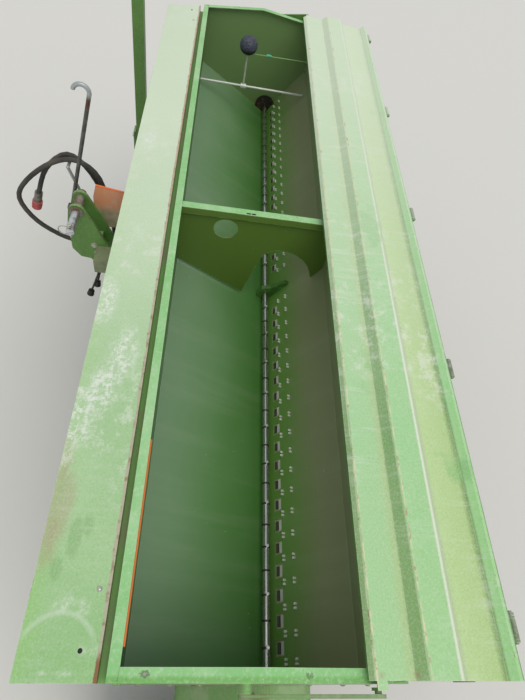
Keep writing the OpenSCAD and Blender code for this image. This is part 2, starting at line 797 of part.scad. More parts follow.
module top_link_pin() {
    color(steel) union() {
        bar_x(-mast_out - pin_stub, -mast_out - pin_collar + 1, top_c, top_pin_d);
        bar_x(-mast_out - pin_collar, -mast_out - play, top_c, 40);
        bar_x(-mast_out - pin_collar, mast_out + 18, top_c, pin_shank_d);
        bar_x(mast_out + play, mast_out + pin_collar, top_c, 40);
    }
}

hitch_stub = 75;

module lower_hitch(side) {
    t = 12;
    gap = 64;
    c = side * hitch_spread / 2;
    side_view = concat([[beam_front, beam_z - beam / 2], [beam_front + 60, hitch_c[1] - 50]],
        arc(hitch_c, 44, -90, 90, 8), [[beam_front + 60, beam_top], [beam_front, beam_top]]);
    color(green) union() {
        for (s = [-1, 1])
            along_x(c + s * (gap + t) / 2 - t / 2, c + s * (gap + t) / 2 + t / 2) polygon(side_view);
        box([c - gap / 2, beam_front, beam_z - 40], [c + gap / 2, beam_front + 12, beam_z + 40]);
        bar_x(c - gap / 2 - t - (side < 0 ? hitch_stub : 12), c + gap / 2 + t + (side < 0 ? 12 : hitch_stub), hitch_c,
              hitch_pin_d);
    }
}

module lower_hitch_left() {
    lower_hitch(-1);
}

module lower_hitch_right() {
    lower_hitch(1);
}

harrow_x = 750;
harrow_y = -640;
harrow_z = 620;
harrow_beam = 50;
tip_y = -850.6;

module harrow_arms() {
    color(green) for (s = [-1, 1])
        box([s * harrow_x - 20, harrow_y + harrow_beam / 2, harrow_z - 20], [s * harrow_x + 20, beam_back, harrow_z + 20]);
}

// Harrow beam with a clamp, a coil and a tine for each row
module harrow() {
    d = 10;
    clamp_w = 34;
    clamp_h = harrow_beam + 12;
    coil_d = 46;
    color(black) union() {
        box([-half_l + 10, harrow_y - harrow_beam / 2, harrow_z - harrow_beam / 2],
            [half_l - 10, harrow_y + harrow_beam / 2, harrow_z + harrow_beam / 2]);
        for (i = [0 : rows - 1]) {
            a = [row_x(i), harrow_y, harrow_z - harrow_beam / 2 + 5];
            b = [row_x(i), harrow_y - 90, 220];
            c = [row_x(i), tip_y, 8];
            box([a[0] - clamp_w / 2, harrow_y - clamp_h / 2, harrow_z - clamp_h / 2],
                [a[0] + clamp_w / 2, harrow_y + clamp_h / 2, harrow_z + clamp_h / 2]);
            bar_x(a[0] - clamp_w / 2, a[0] + clamp_w / 2, [harrow_y, a[2] - 5 - coil_d / 2], coil_d);
            rod(a - [0, 0, coil_d / 2], b, d);
            translate(b) sphere(d = d + 1);
            rod(b, c, d);
        }
    }
}

step_y = [-390, -606];
step_z = 690;

module loading_step() {
    t = 4;
    fold = 30;
    slot = [54, 12];
    slot_pitch = 78;
    slots = floor((2 * half_l - 240) / slot_pitch);
    color(orange) union() {
        difference() {
            along_x(-half_l + 60, half_l - 60)
                polygon(strip([[step_y[1], step_z - fold], [step_y[1], step_z], [step_y[0], step_z],
                               [step_y[0], step_z - fold]], -t));
            for (k = [0 : slots - 1])
                for (y = [-550, -498, -446])
                    translate([(k - (slots - 1) / 2) * slot_pitch - slot[0] / 2, y - slot[1] / 2, step_z - t - 1])
                        cube([slot[0], slot[1], t + 2]);
        }
        for (s = [-1, 1])
            box([s * harrow_x - 25, step_y[1] + 30, harrow_z + 20], [s * harrow_x + 25, step_y[0] - 30, step_z - t]);
    }
}

gear_x = [-plate_x, -plate_x + 130];
gear_c = [230, 800];

// Gearbox with its lever and a bare scale plate
module gearbox() {
    cover = 12;
    hub = 60;
    lever_a = 112;
    lever_l = 100;
    knob = 30;
    pivot = [gear_c[0] - 10, gear_c[1] + 62];
    tip = pivot + lever_l * [cos(lever_a), sin(lever_a)];
    grip = pivot + (lever_l - 40) * [cos(lever_a), sin(lever_a)];
    x = gear_x[1] - 40;
    color(green) union() {
        box([gear_x[0], gear_c[0] - 70, gear_c[1] - 60], [gear_x[1], gear_c[0] + 60, gear_c[1] + 60]);
        box([gear_x[0] + 10, gear_c[0] - 60, gear_c[1] - 50], [gear_x[1] + cover, gear_c[0] + 50, gear_c[1] + 50]);
        bar_x(gear_x[1] + cover - 1, gear_x[1] + 25, gear_c, hub);
        along_x(x - 20, x - 16)
            polygon(concat([[pivot[0] - 20, pivot[1] - 10]], arc(pivot, 84, 130, 60, 6), [[pivot[0] + 20, pivot[1] - 10]]));
        box([x - 17, pivot[0] - 15, pivot[1] - 10], [x + 3, pivot[0] + 15, pivot[1] + 14]);
        rod([x - 6, pivot[0], pivot[1]], [x - 6, tip[0], tip[1]], 12);
        rod([x - 6, grip[0], grip[1]], [x - 6, tip[0], tip[1]], knob);
    }
}

module chain_guard() {
    x0 = -half_l - 46;
    x1 = -half_l;
    d = 84;
    color(green) difference() {
        union() {
            link_x(x0, x1, agitator_g, meter, d);
            link_x(x0, x1, agitator_g, gear_c, d);
            link_x(x0, x1, gear_c, axle_c, d);
        }
        bar_x(x1 - 21, x1 + 1, agitator_g, agitator_d + 1);
        bar_x(x1 - 21, x1 + 1, meter, meter_shaft_d + 1);
        bar_x(x0 - 1, x1 + 1, axle_c, axle_d + 1);
    }
}

stand_x = 560;
sleeve = 60;
leg = 45;

module stand_sleeves() {
    color(green) for (s = [-1, 1])
        difference() {
            box([s * stand_x - sleeve / 2, beam_front, 530], [s * stand_x + sleeve / 2, beam_front + sleeve, 700]);
            box([s * stand_x - leg / 2 - play, beam_front + (sleeve - leg) / 2 - play, 529],
                [s * stand_x + leg / 2 + play, beam_front + (sleeve + leg) / 2 + play, 701]);
        }
}

module stand(side) {
    foot = 60;
    hole_d = 17;
    hole_step = 60;
    c = [side * stand_x, beam_front + sleeve / 2];
    color(steel) difference() {
        union() {
            box([c[0] - leg / 2, c[1] - leg / 2, 8], [c[0] + leg / 2, c[1] + leg / 2, 760]);
            box([c[0] - foot, c[1] - foot, 0], [c[0] + foot, c[1] + foot, 8]);
        }
        for (z = [80 : hole_step : 480])
            bar_x(c[0] - leg, c[0] + leg, [c[1], z], hole_d);
    }
}

module stand_left() {
    stand(-1);
}

module stand_right() {
    stand(1);
}

// Marker on the right-hand side, folded up
marker_c = [half_l - 50, 720];
marker_y = 680;
marker_w = 50;
marker_pin = 25;

// Marker cylinder behind the arm, its rod's eye open at the arm's pin
cyl_y = marker_y - 70;
cyl_base = marker_c + [-140, -80];
cyl_eye = marker_c + 80 * [cos(110), sin(110)];
cyl_l = norm(cyl_eye - cyl_base);
cyl_v = unit(cyl_eye - cyl_base);
eye_w = 24;
cyl_pin = 16;
post_y = [marker_y - 40, marker_y + 30];
post_t = 10;

module marker_bracket() {
    box_w = 60;
    box_h = 40;
    foot_t = 20;
    plate = 6;
    low = 600;
    top = low + box_h;
    color(green) union() {
        box([marker_c[0] - box_w / 2, beam_front, low], [plate_x - 1, beam_front + foot_t, top]);
        box([marker_c[0] - box_w / 2, beam_front + 11, low], [marker_c[0] + box_w / 2, post_y[1] + post_t, top]);
        for (y = post_y)
            box([marker_c[0] - box_w / 2, y, top], [marker_c[0] + box_w / 2, y + post_t, marker_c[1] + 35]);
        box([cyl_base[0] - 20, post_y[0] - plate, low], [marker_c[0] + box_w / 2, post_y[0], cyl_base[1] + 20]);
        bar_y(post_y[0] - plate, post_y[1] + post_t + 3, marker_c, marker_pin);
        bar_y(cyl_y - eye_w / 2 - 6, post_y[0], cyl_base, cyl_pin);
    }
}

module marker_arm() {
    back = marker_y - marker_w / 2;
    color(green) difference() {
        union() {
            bar_y(post_y[0] + post_t + play, post_y[1] - play, marker_c, 54);
            box([marker_c[0] - marker_w / 2, back, marker_c[1]],
                [marker_c[0] + marker_w / 2, back + marker_w, marker_c[1] + marker_l - 40]);
            box([cyl_eye[0] - 16, back - 8, cyl_eye[1] - 16], [marker_c[0] + marker_w / 2, back, cyl_eye[1] + 40]);
            bar_y(cyl_y + eye_w / 2 + play, back, cyl_eye, cyl_pin);
            translate([marker_c[0], marker_y, marker_c[1] + marker_l - 45]) cylinder(h = 75, d = 24);
            translate([marker_c[0], marker_y, marker_c[1] + marker_l + 30 + play]) cylinder(h = 6, d = 36);
            translate([marker_c[0], marker_y, marker_c[1] + marker_l + 20]) cylinder(h = 14, d = 16);
        }
        bar_y(post_y[0], post_y[1] + post_t, marker_c, marker_pin + fit);
    }
}

module marker_disc() {
    z = marker_c[1] + marker_l;
    r = marker_disc_d / 2;
    bore = 12 + fit / 2;
    color(steel) translate([marker_c[0], marker_y, z]) rotate_extrude($fn = 72)
        polygon([[bore, -30], [26, -30], [26, -4], [60, -4], [r - 20, 18], [r, 30], [r - 3, 34],
                 [r - 22, 23], [60, 1], [30, 1], [30, 8], [26, 30], [bore, 30]]);
}

module marker_barrel() {
    a = [cyl_base[0], cyl_y, cyl_base[1]];
    v = [cyl_v[0], 0, cyl_v[1]];
    color(green) difference() {
        union() {
            bar_y(cyl_y - eye_w / 2, cyl_y + eye_w / 2, cyl_base, 34);
            rod(a, a + v * 125, 36);
        }
        bar_y(cyl_y - eye_w, cyl_y + eye_w, cyl_base, cyl_pin + fit);
        rod(a + v * 60, a + v * 126, 20 + fit);
    }
}

module marker_rod() {
    a = [cyl_base[0], cyl_y, cyl_base[1]];
    v = [cyl_v[0], 0, cyl_v[1]];
    color(steel) union() {
        rod(a + v * 65, a + v * cyl_l, 20);
        bar_y(cyl_y - eye_w / 2, cyl_y + eye_w / 2, cyl_eye, 30);
    }
}

module hose_plate() {
    color(orange) along_x(mast_out, mast_out + 6)
        polygon([[560, 1150], [560, 1302], [571, 1303], [654, 1316], [665, 1272], [669, 1200], [640, 1150]]);
}

// Steel rods beside the mast: one upright with a curled end, one that carries the hoses
module hose_holder() {
    d = 12;
    rest_d = 10;
    knee = 1;
    x = mast_out + 14;
    lean = 13.8;
    foot = [x, 741, 1205];
    top = foot + 407 * [0, -sin(lean), cos(lean)];
    curl = 21;
    rest = [[88, 690, 1150], [88, 745, 1329]];
    color(steel) union() {
        box([mast_out, 717, 1188], [x + d / 2 + 2, 752, 1214]);
        rod(foot, top, d);
        translate(top) sphere(d = d + knee);
        translate(top + curl * [0, cos(lean), sin(lean)]) rotate([lean, 0, 0]) rotate([90, 0, 90])
            rotate_extrude(angle = 180, $fn = 48) translate([curl, 0]) circle(d = d);
        bar_x(mast_out, rest[0][0], [rest[0][1], rest[0][2]], rest_d);
        translate(rest[0]) sphere(d = rest_d + knee);
        rod(rest[0], rest[1], rest_d);
        translate(rest[1]) sphere(d = rest_d + knee);
        bar_x(rest[1][0], rest[1][0] + 56, [rest[1][1], rest[1][2]], rest_d);
    }
}

// Blocks beside the mast: the hoses' on its right, a small box on its left
module hose_block() {
    color(cream) {
        box([mast_out, 600, 980], [150, 700, 1010]);
        box([-mast_out - 70, 580, 1078], [-mast_out, 654, 1130]);
    }
}

hose_d = 16;
loop_long = [[100, 620, 1010], [100, 628, 1130], [100, 654, 1290], [105, 720, 1345], [110, 800, 1320],
             [110, 890, 1240], [110, 930, 1160], [108, 890, 1070], [104, 800, 1010], [100, 700, 995]];
loop_short = [[130, 620, 1010], [130, 640, 1150], [128, 688, 1290], [126, 752, 1348], [126, 826, 1284],
              [128, 868, 1180]];
short_end = unit([1, 10, -34]);

module hose(p, t0, t1) {
    color(black) sweep(spline(p, 4), t0, t1, hose_d, 8);
}

module hose_long() {
    hose(loop_long, [0, 0, 1], [0, -1, 0]);
}

module hose_short() {
    hose(loop_short, [0, 0, 1], short_end);
}

module hose_coupler() {
    a = loop_short[len(loop_short) - 1];
    color(steel) union() {
        rod(a, a + short_end * 40, 26);
        rod(a + short_end * 38, a + short_end * 70, 32);
    }
}

module level_gauge() {
    x = half_l - 200;
    y = -208;
    rod_z = -222;
    rod_end = hop[3][0] + 15;
    ball = [x - 8, y, -40];
    color(black) at_hopper() union() {
        rod([x, rod_end, rod_z], [x, -wall_in, rod_z], 10);
        bar_y(y - 12, y + 12, [x, rod_z], 22);
        rod([x, y, rod_z], ball, 8);
        translate(ball) sphere(d = 76);
        rod([x - 6, y, -74], [x, hop[3][0], -70], 4);
    }
}

hopper_front_wall();
hopper_front_slope();
hopper_rear_slope();
hopper_rear_wall();
hopper_end_left();
hopper_end_right();
hopper_divider();
front_shelf();
shelf_braces();
lid_hinge_brackets();
lid_rear_leaf();
lid_front_leaf();
lid_front_edge();
lid_lugs();
lid_arm_left();
lid_arm_right();
agitator_bearings();
agitator_shaft();
metering_units();
metering_shaft();
metering_bearings();
seed_funnels();
seed_tubes();
level_gauge();
main_beam();
side_plate_left();
side_plate_right();
hopper_saddles();
axle_stubs();
mast();
top_link_pin();
lower_hitch_left();
lower_hitch_right();
coulter_rail();
coulters();
pressure_shaft();
coulter_springs();
harrow_arms();
harrow();
loading_step();
gearbox();
chain_guard();
wheel_rim_left();
wheel_rim_right();
tyre_left();
tyre_right();
stand_sleeves();
stand_left();
stand_right();
marker_bracket();
marker_arm();
marker_disc();
marker_barrel();
marker_rod();
hose_holder();
hose_plate();
hose_block();
hose_long();
hose_short();
hose_coupler();
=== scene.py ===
# %% [markdown]
# This notebook dresses a mounted seed drill. The solids come from the CAD model and already stand in
# their places, in metres, with the tractor side towards +Y. Everything below adds what the solids don't
# have: weathered paint, fastenings, hose fittings, springs and light. A frame of fixed solids saves all
# fitting, because each new piece can be set out with the same numbers as the solids.

# %% Load the solids
import math

import bmesh
import bpy
from mathutils import Matrix, Vector


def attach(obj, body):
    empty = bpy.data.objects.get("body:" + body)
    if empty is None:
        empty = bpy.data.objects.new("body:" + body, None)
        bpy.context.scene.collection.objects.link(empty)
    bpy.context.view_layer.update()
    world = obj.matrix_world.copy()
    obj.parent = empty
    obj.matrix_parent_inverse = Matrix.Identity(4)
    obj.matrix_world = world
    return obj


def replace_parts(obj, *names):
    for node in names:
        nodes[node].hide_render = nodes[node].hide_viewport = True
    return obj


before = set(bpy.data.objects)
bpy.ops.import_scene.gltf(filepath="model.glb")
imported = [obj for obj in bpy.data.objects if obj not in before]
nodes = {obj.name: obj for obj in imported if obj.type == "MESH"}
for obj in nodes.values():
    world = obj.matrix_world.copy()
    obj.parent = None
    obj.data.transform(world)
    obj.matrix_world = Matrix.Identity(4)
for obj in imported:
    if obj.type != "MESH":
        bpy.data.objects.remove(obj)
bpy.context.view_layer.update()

# %% [markdown]
# The picture is taken from above the left end of the hopper, steeply down and with a wide lens. The lens
# and the three directions of the picture were worked out from the hopper's own straight edges, so the
# camera is placed by its axes and needs no aiming target.

# %% Camera
LENS_PX = 502.2
PICTURE_LONG_SIDE = 700
LONG_SIDE_SENSOR = 36.0
EYE = Vector((-1.257, 0.313, 2.395))
LOOK = Vector((0.559, -0.140, -0.817)).normalized()
PICTURE_RIGHT = Vector((0.000, -0.986, 0.169)).normalized()


def stand_camera():
    data = bpy.data.cameras.new("photo_camera")
    data.sensor_width = LONG_SIDE_SENSOR
    data.lens = LENS_PX / PICTURE_LONG_SIDE * LONG_SIDE_SENSOR
    data.clip_start, data.clip_end = 0.02, 60.0
    up = PICTURE_RIGHT.cross(LOOK).normalized()
    right = LOOK.cross(up).normalized()
    turn = Matrix((right, up, -LOOK)).transposed().to_4x4()
    camera = bpy.data.objects.new("photo_camera", data)
    camera.matrix_world = Matrix.Translation(EYE) @ turn
    bpy.context.scene.collection.objects.link(camera)
    bpy.context.scene.camera = camera
    return camera


camera = stand_camera()
print("camera lens:", round(camera.data.lens, 2), "mm")

# %% [markdown]
# An overcast day gives light from the whole sky. A pale floor, an even world and one very soft
# sun give the same look: the hopper darkens towards its trough by itself, because less of the sky reaches
# in.

# %% Floor, sky and sun
FLOOR_HALF = 25.0
SKY_LEVEL = 0.62
SUN_LEVEL = 1.25
SUN_SPREAD = math.radians(50)


def srgb(r, g, b):
    """A screen colour, 0 to 255, as the linear colour that a shader wants."""
    parts = [v / 255 for v in (r, g, b)]
    return tuple(v / 12.92 if v <= 0.04045 else ((v + 0.055) / 1.055) ** 2.4 for v in parts) + (1.0,)


def lay_floor():
    bm = bmesh.new()
    bmesh.ops.create_grid(bm, x_segments=1, y_segments=1, size=FLOOR_HALF)
    mesh = bpy.data.meshes.new("floor")
    bm.to_mesh(mesh)
    bm.free()
    floor = bpy.data.objects.new("floor", mesh)
    bpy.context.scene.collection.objects.link(floor)
    material = bpy.data.materials.new("pale_floor")
    material.use_nodes = True
    shader = material.node_tree.nodes["Principled BSDF"]
    shader.inputs["Base Color"].default_value = srgb(222, 221, 217)
    shader.inputs["Roughness"].default_value = 0.9
    mesh.materials.append(material)
    return floor


def light_scene():
    world = bpy.data.worlds.new("overcast_sky")
    world.use_nodes = True
    world.node_tree.nodes["Background"].inputs["Color"].default_value = srgb(244, 247, 250)
    world.node_tree.nodes["Background"].inputs["Strength"].default_value = SKY_LEVEL
    bpy.context.scene.world = world
    sun = bpy.data.lights.new("soft_sun", "SUN")
    sun.energy = SUN_LEVEL
    sun.angle = SUN_SPREAD
    sun.color = srgb(255, 250, 242)[:3]
    lamp = bpy.data.objects.new("soft_sun", sun)
    lamp.rotation_euler = (math.radians(12), math.radians(-24), 0)
    bpy.context.scene.collection.objects.link(lamp)


lay_floor()
light_scene()
bpy.context.scene.view_settings.view_transform = "Standard"

# %% [markdown]
# Every finish here is a small net of nodes that reads the place on the object in metres. A little class
# keeps the wiring short: each method adds a node or two and hands back the output, so a finish reads like
# a recipe. Three words come back all the time. A step turns a value into a soft-edged mask, ragged makes
# a border wander, and over lays a colour on the tone so far, as strongly as the masks behind it say.

# %% A recipe book for finishes
SOFT_STEP = "SMOOTHSTEP"
BEVEL_SAMPLES = 4
FULL_TURN = 2 * math.pi


class Finish:
    def __init__(self, name):
        self.material = bpy.data.materials.new(name)
        self.material.use_nodes = True
        self.tree = self.material.node_tree
        self.shader = self.tree.nodes["Principled BSDF"]
        coordinates = self.add("ShaderNodeTexCoord")
        self.place = coordinates.outputs["Object"]
        self.facing = coordinates.outputs["Normal"]

    def add(self, kind):
        return self.tree.nodes.new(kind)

    def feed(self, socket, value):
        if isinstance(value, bpy.types.NodeSocket):
            self.tree.links.new(value, socket)
        else:
            socket.default_value = value

    def stretched(self, scale):
        """The place, scaled by three numbers: a large one squeezes a noise that way."""
        node = self.add("ShaderNodeMapping")
        node.inputs["Scale"].default_value = scale
        self.feed(node.inputs["Vector"], self.place)
        return node.outputs["Vector"]

    def noise(self, scale, detail=3.0, rough=0.55, place=None):
        node = self.add("ShaderNodeTexNoise")
        node.inputs["Scale"].default_value = scale
        node.inputs["Detail"].default_value = detail
        node.inputs["Roughness"].default_value = rough
        self.feed(node.inputs["Vector"], place or self.place)
        return node.outputs["Fac"]

    def maths(self, op, a, b=0.0):
        """Arithmetic on numbers."""
        node = self.add("ShaderNodeMath")
        node.operation = op
        self.feed(node.inputs[0], a)
        self.feed(node.inputs[1], b)
        return node.outputs[0]

    def times(self, *factors):
        product = factors[0]
        for factor in factors[1:]:
            product = self.maths("MULTIPLY", product, factor)
        return product

    def plus(self, a, b):
        return self.maths("ADD", a, b)

    def minus(self, a, b):
        return self.maths("SUBTRACT", a, b)

    def ragged(self, value, amount, scale, detail=3.0, rough=0.55):
        """A value made uneven by noise, so that a border laid along it wanders."""
        return self.plus(value, self.times(self.noise(scale, detail, rough), amount))

    def ramp(self, value, stops):
        """Colours one after another along a value from 0 to 1."""
        node = self.add("ShaderNodeValToRGB")
        elements = node.color_ramp.elements
        elements[0].position, elements[0].color = stops[0]
        elements[1].position, elements[1].color = stops[-1]
        for place, colour in stops[1:-1]:
            elements.new(place).color = colour
        self.feed(node.inputs[0], value)
        return node.outputs[0]

    def span(self, value, low, high, soft):
        """1 between low and high, with soft ends."""
        rise = self.step(value, low - soft, low + soft)
        return self.times(rise, self.fall(value, high - soft, high + soft))

    def vector(self, op, first, second=(0.0, 0.0, 0.0)):
        """Arithmetic on places; a length or a distance comes back as a number."""
        node = self.add("ShaderNodeVectorMath")
        node.operation = op
        self.feed(node.inputs[0], first)
        self.feed(node.inputs[1], second)
        return node.outputs["Value" if op in ("LENGTH", "DISTANCE") else "Vector"]

    def from_point(self, point):
        return self.vector("SUBTRACT", self.place, point)

    def distance(self, point):
        return self.vector("DISTANCE", self.place, point)

    def blot(self, point, radius, ragged=0.012, squeeze=(1.0, 1.0, 1.0), grit=42.0):
        """A spot with a ragged outline; squeeze above 1 makes it narrower that way."""
        length = self.vector("LENGTH", self.vector("MULTIPLY", self.from_point(point), squeeze))
        return self.fall(self.ragged(length, 2.0 * ragged, grit, 5.0, 0.7), radius, radius + 1.6 * ragged)

    def step(self, value, low, high, start=0.0, end=1.0):
        """A soft change from start to end while the value goes from low to high."""
        node = self.add("ShaderNodeMapRange")
        node.interpolation_type = SOFT_STEP
        self.feed(node.inputs["Value"], value)
        for label, number in (("From Min", low), ("From Max", high), ("To Min", start), ("To Max", end)):
            node.inputs[label].default_value = number
        return node.outputs["Result"]

    def fall(self, value, low, high):
        """1 below low, 0 above high."""
        return self.step(value, low, high, 1.0, 0.0)

    def axis(self, letter, vector=None):
        node = self.add("ShaderNodeSeparateXYZ")
        self.feed(node.inputs[0], vector or self.place)
        return node.outputs[letter]

    def mix(self, amount, first, second):
        node = self.add("ShaderNodeMix")
        node.data_type = "RGBA"
        self.feed(node.inputs[0], amount)
        self.feed(node.inputs[6], first)
        self.feed(node.inputs[7], second)
        return node.outputs[2]

    def over(self, tone, colour, *amounts):
        """Lays a colour over a tone, as strongly as the product of the amounts."""
        return self.mix(self.times(*amounts), tone, colour)

    def near(self, point, inner, outer):
        """1 inside a ball of radius inner round the point, 0 beyond outer."""
        return self.fall(self.distance(point), inner, outer)

    def edges(self, radius, low=0.02, high=0.25):
        """1 along sharp outer edges: the rounded normal differs from the true one there."""
        rounded = self.add("ShaderNodeBevel")
        rounded.samples = BEVEL_SAMPLES
        rounded.inputs["Radius"].default_value = radius
        flat = self.add("ShaderNodeNewGeometry")
        apart = self.vector("DISTANCE", rounded.outputs["Normal"], flat.outputs["True Normal"])
        return self.step(apart, low, high)

    def bump(self, height, distance, strength=1.0, under=None):
        node = self.add("ShaderNodeBump")
        node.inputs["Strength"].default_value = strength
        node.inputs["Distance"].default_value = distance
        self.feed(node.inputs["Height"], height)
        if under:
            self.feed(node.inputs["Normal"], under)
        return node.outputs["Normal"]

    def done(self, colour, rough, normal, metal=0.0):
        self.feed(self.shader.inputs["Base Color"], colour)
        self.feed(self.shader.inputs["Roughness"], rough)
        self.feed(self.shader.inputs["Metallic"], metal)
        self.feed(self.shader.inputs["Normal"], normal)
        return self.material


def dress(finish, *names):
    """Gives CAD nodes a finish in place of their plain colour."""
    for name in names:
        mesh = nodes[name].data
        mesh.materials.clear()
        mesh.materials.append(finish)


# %% [markdown]
# The drill was painted once, in a clear mid green, and has stood outside since. On its upper faces the
# paint has bleached and holds a pale film of dust, along edges it is worn to bare grey and rust, and
# below it is stained by soil. One recipe does the whole frame, with the amount of each kind of wear as
# its numbers.

# %% Green frame paint
PAINT_DEEP = srgb(82, 120, 54)
PAINT_BRIGHT = srgb(100, 146, 70)
PAINT_BLEACHED = srgb(146, 192, 124)
DUST = srgb(218, 226, 200)
SOIL = srgb(96, 86, 64)
PRIMER = srgb(146, 138, 128)
RUST = srgb(120, 72, 48)


def green_paint(name, bleach=0.6, dust=0.5, chips=0.5, gloss=0.4, soil=0.3):
    f = Finish(name)
    patches = f.noise(2.6, 3.0, 0.55)
    fine = f.noise(120.0, 3.0, 0.62)
    upward = f.step(f.axis("Z", f.facing), 0.25, 0.95)
    tone = f.mix(f.step(patches, 0.3, 0.7), PAINT_DEEP, PAINT_BRIGHT)
    tone = f.over(tone, PAINT_BLEACHED, upward, bleach)
    cloud = f.step(f.noise(14.0, 8.0, 0.72), 0.45, 0.66)
    film = f.times(upward, f.plus(f.times(cloud, 0.8), 0.2), dust)
    tone = f.mix(film, tone, DUST)
    low = f.step(f.axis("Z"), 0.2, 1.0, 1.0, 0.35)
    stain = f.step(f.noise(7.0, 7.0, 0.7), 0.46, 0.72)
    dirt = f.times(stain, low, soil)
    tone = f.mix(dirt, tone, SOIL)
    tone = f.over(tone, PAINT_BLEACHED, f.step(fine, 0.45, 0.75), 0.22)
    edge = f.times(f.edges(0.004), f.step(f.noise(17.0, 6.0, 0.75), 0.42, 0.58))
    spots = f.step(f.noise(31.0, 6.0, 0.78), 0.68, 0.71)
    bare = f.times(f.maths("MAXIMUM", edge, spots), chips)
    tone = f.mix(bare, tone, f.mix(f.step(f.noise(55.0, 4.0, 0.6), 0.42, 0.58), PRIMER, RUST))
    worn_rough = f.plus(f.times(f.plus(film, dirt), 0.3), f.times(bare, 0.3))
    rough = f.plus(worn_rough, f.step(patches, 0.2, 0.8, 0.6 - 0.4 * gloss, 0.74 - 0.4 * gloss))
    dents = f.bump(f.noise(5.0, 2.0, 0.5), 0.003, 0.2)
    peel = f.bump(f.noise(420.0, 2.0, 0.5), 0.00025, 0.35, dents)
    return f.done(tone, rough, f.bump(f.minus(f.times(cloud, 0.15), bare), 0.0006, 0.6, peel))


frame_paint = green_paint("frame_paint", bleach=0.3, dust=0.35, chips=0.7, gloss=0.45, soil=0.55)
dress(frame_paint, "main_beam", "side_plate_left", "side_plate_right", "hopper_saddles", "mast",
      "lower_hitch_left", "lower_hitch_right", "coulter_rail", "harrow_arms", "shelf_braces",
      "metering_bearings", "lid_hinge_brackets", "lid_lugs", "lid_arm_left", "lid_arm_right",
      "stand_sleeves", "marker_bracket", "marker_arm", "chain_guard", "gearbox")
print("frame paint on", len([o for o in nodes.values() if frame_paint in list(o.data.materials)]), "solids")

# %% [markdown]
# The sheets that face the sky have bleached most, and far more at the end that stood in the open. Their
# dust isn't a soft cloud: it has dried in fine-edged dabs, with crosswise wipe marks between them. A
# noise with many octaves gives the fine edges, and one noise squeezed along the hopper gives the wipe
# marks.

# %% Dust and wipe marks of a sky-lit sheet
NEAR_END_X, OPEN_END_X = -1.25, 1.1
CHALK = srgb(232, 238, 224)
WORN_PALE_AND_HIGHLIGHT = srgb(214, 226, 196)


def weather(f, tone, upward, dabs=0.7, wipes=0.3, mottle=0.3, pale_from=OPEN_END_X, pale=0.55):
    """Lays dust, wipe marks, a mottle, pale edges and chips over a tone; the pale edges are partly worn
    paint and partly a painted highlight.

    Hands back the tone, the roughness and the normal.
    """
    far = f.step(f.axis("X"), NEAR_END_X, pale_from, 0.0, pale)
    patch = f.step(f.noise(2.9, 3.0, 0.5), 0.44, 0.62)
    dab = f.step(f.noise(24.0, 10.0, 0.78), 0.50, 0.62)
    dust = f.times(dab, patch, upward, dabs)
    tone = f.over(tone, srgb(228, 240, 218), far, upward)
    tone = f.mix(dust, tone, CHALK)
    across = f.noise(1.0, 6.0, 0.72, place=f.stretched((70.0, 6.0, 6.0)))
    wipe = f.times(f.step(across, 0.48, 0.70), f.step(f.noise(4.2, 3.0, 0.5), 0.38, 0.66))
    tone = f.over(tone, CHALK, wipe, upward, wipes)
    speckle = f.noise(260.0, 4.0, 0.72)
    tone = f.over(tone, CHALK, f.step(speckle, 0.46, 0.70), upward, mottle)
    tone = f.over(tone, srgb(104, 150, 84), f.fall(speckle, 0.30, 0.46), 0.22)
    edge = f.edges(0.0022, 0.05, 0.3)
    # Pale edges: partly worn paint, partly a painted highlight along the edges.
    tone = f.over(tone, WORN_PALE_AND_HIGHLIGHT, edge, f.step(f.noise(26.0, 5.0, 0.7), 0.36, 0.6, 0.2, 0.8))
    chipped = f.times(edge, f.step(f.noise(33.0, 6.0, 0.76), 0.57, 0.62))
    spots = f.step(f.noise(27.0, 6.0, 0.78), 0.725, 0.74)
    bare = f.maths("MAXIMUM", f.times(chipped, 0.85), f.times(spots, 0.8))
    tone = f.mix(bare, tone, f.mix(f.step(f.noise(60.0), 0.42, 0.6), srgb(168, 148, 136), RUST))
    rough = f.plus(f.times(dust, 0.25), f.step(speckle, 0.2, 0.8, 0.42, 0.58))
    dents = f.bump(f.noise(2.6, 2.0, 0.5), 0.004, 0.2)
    relief = f.plus(f.times(speckle, 0.35), f.times(dust, 0.5))
    return tone, rough, f.bump(f.minus(relief, bare), 0.0005, 0.5, dents)
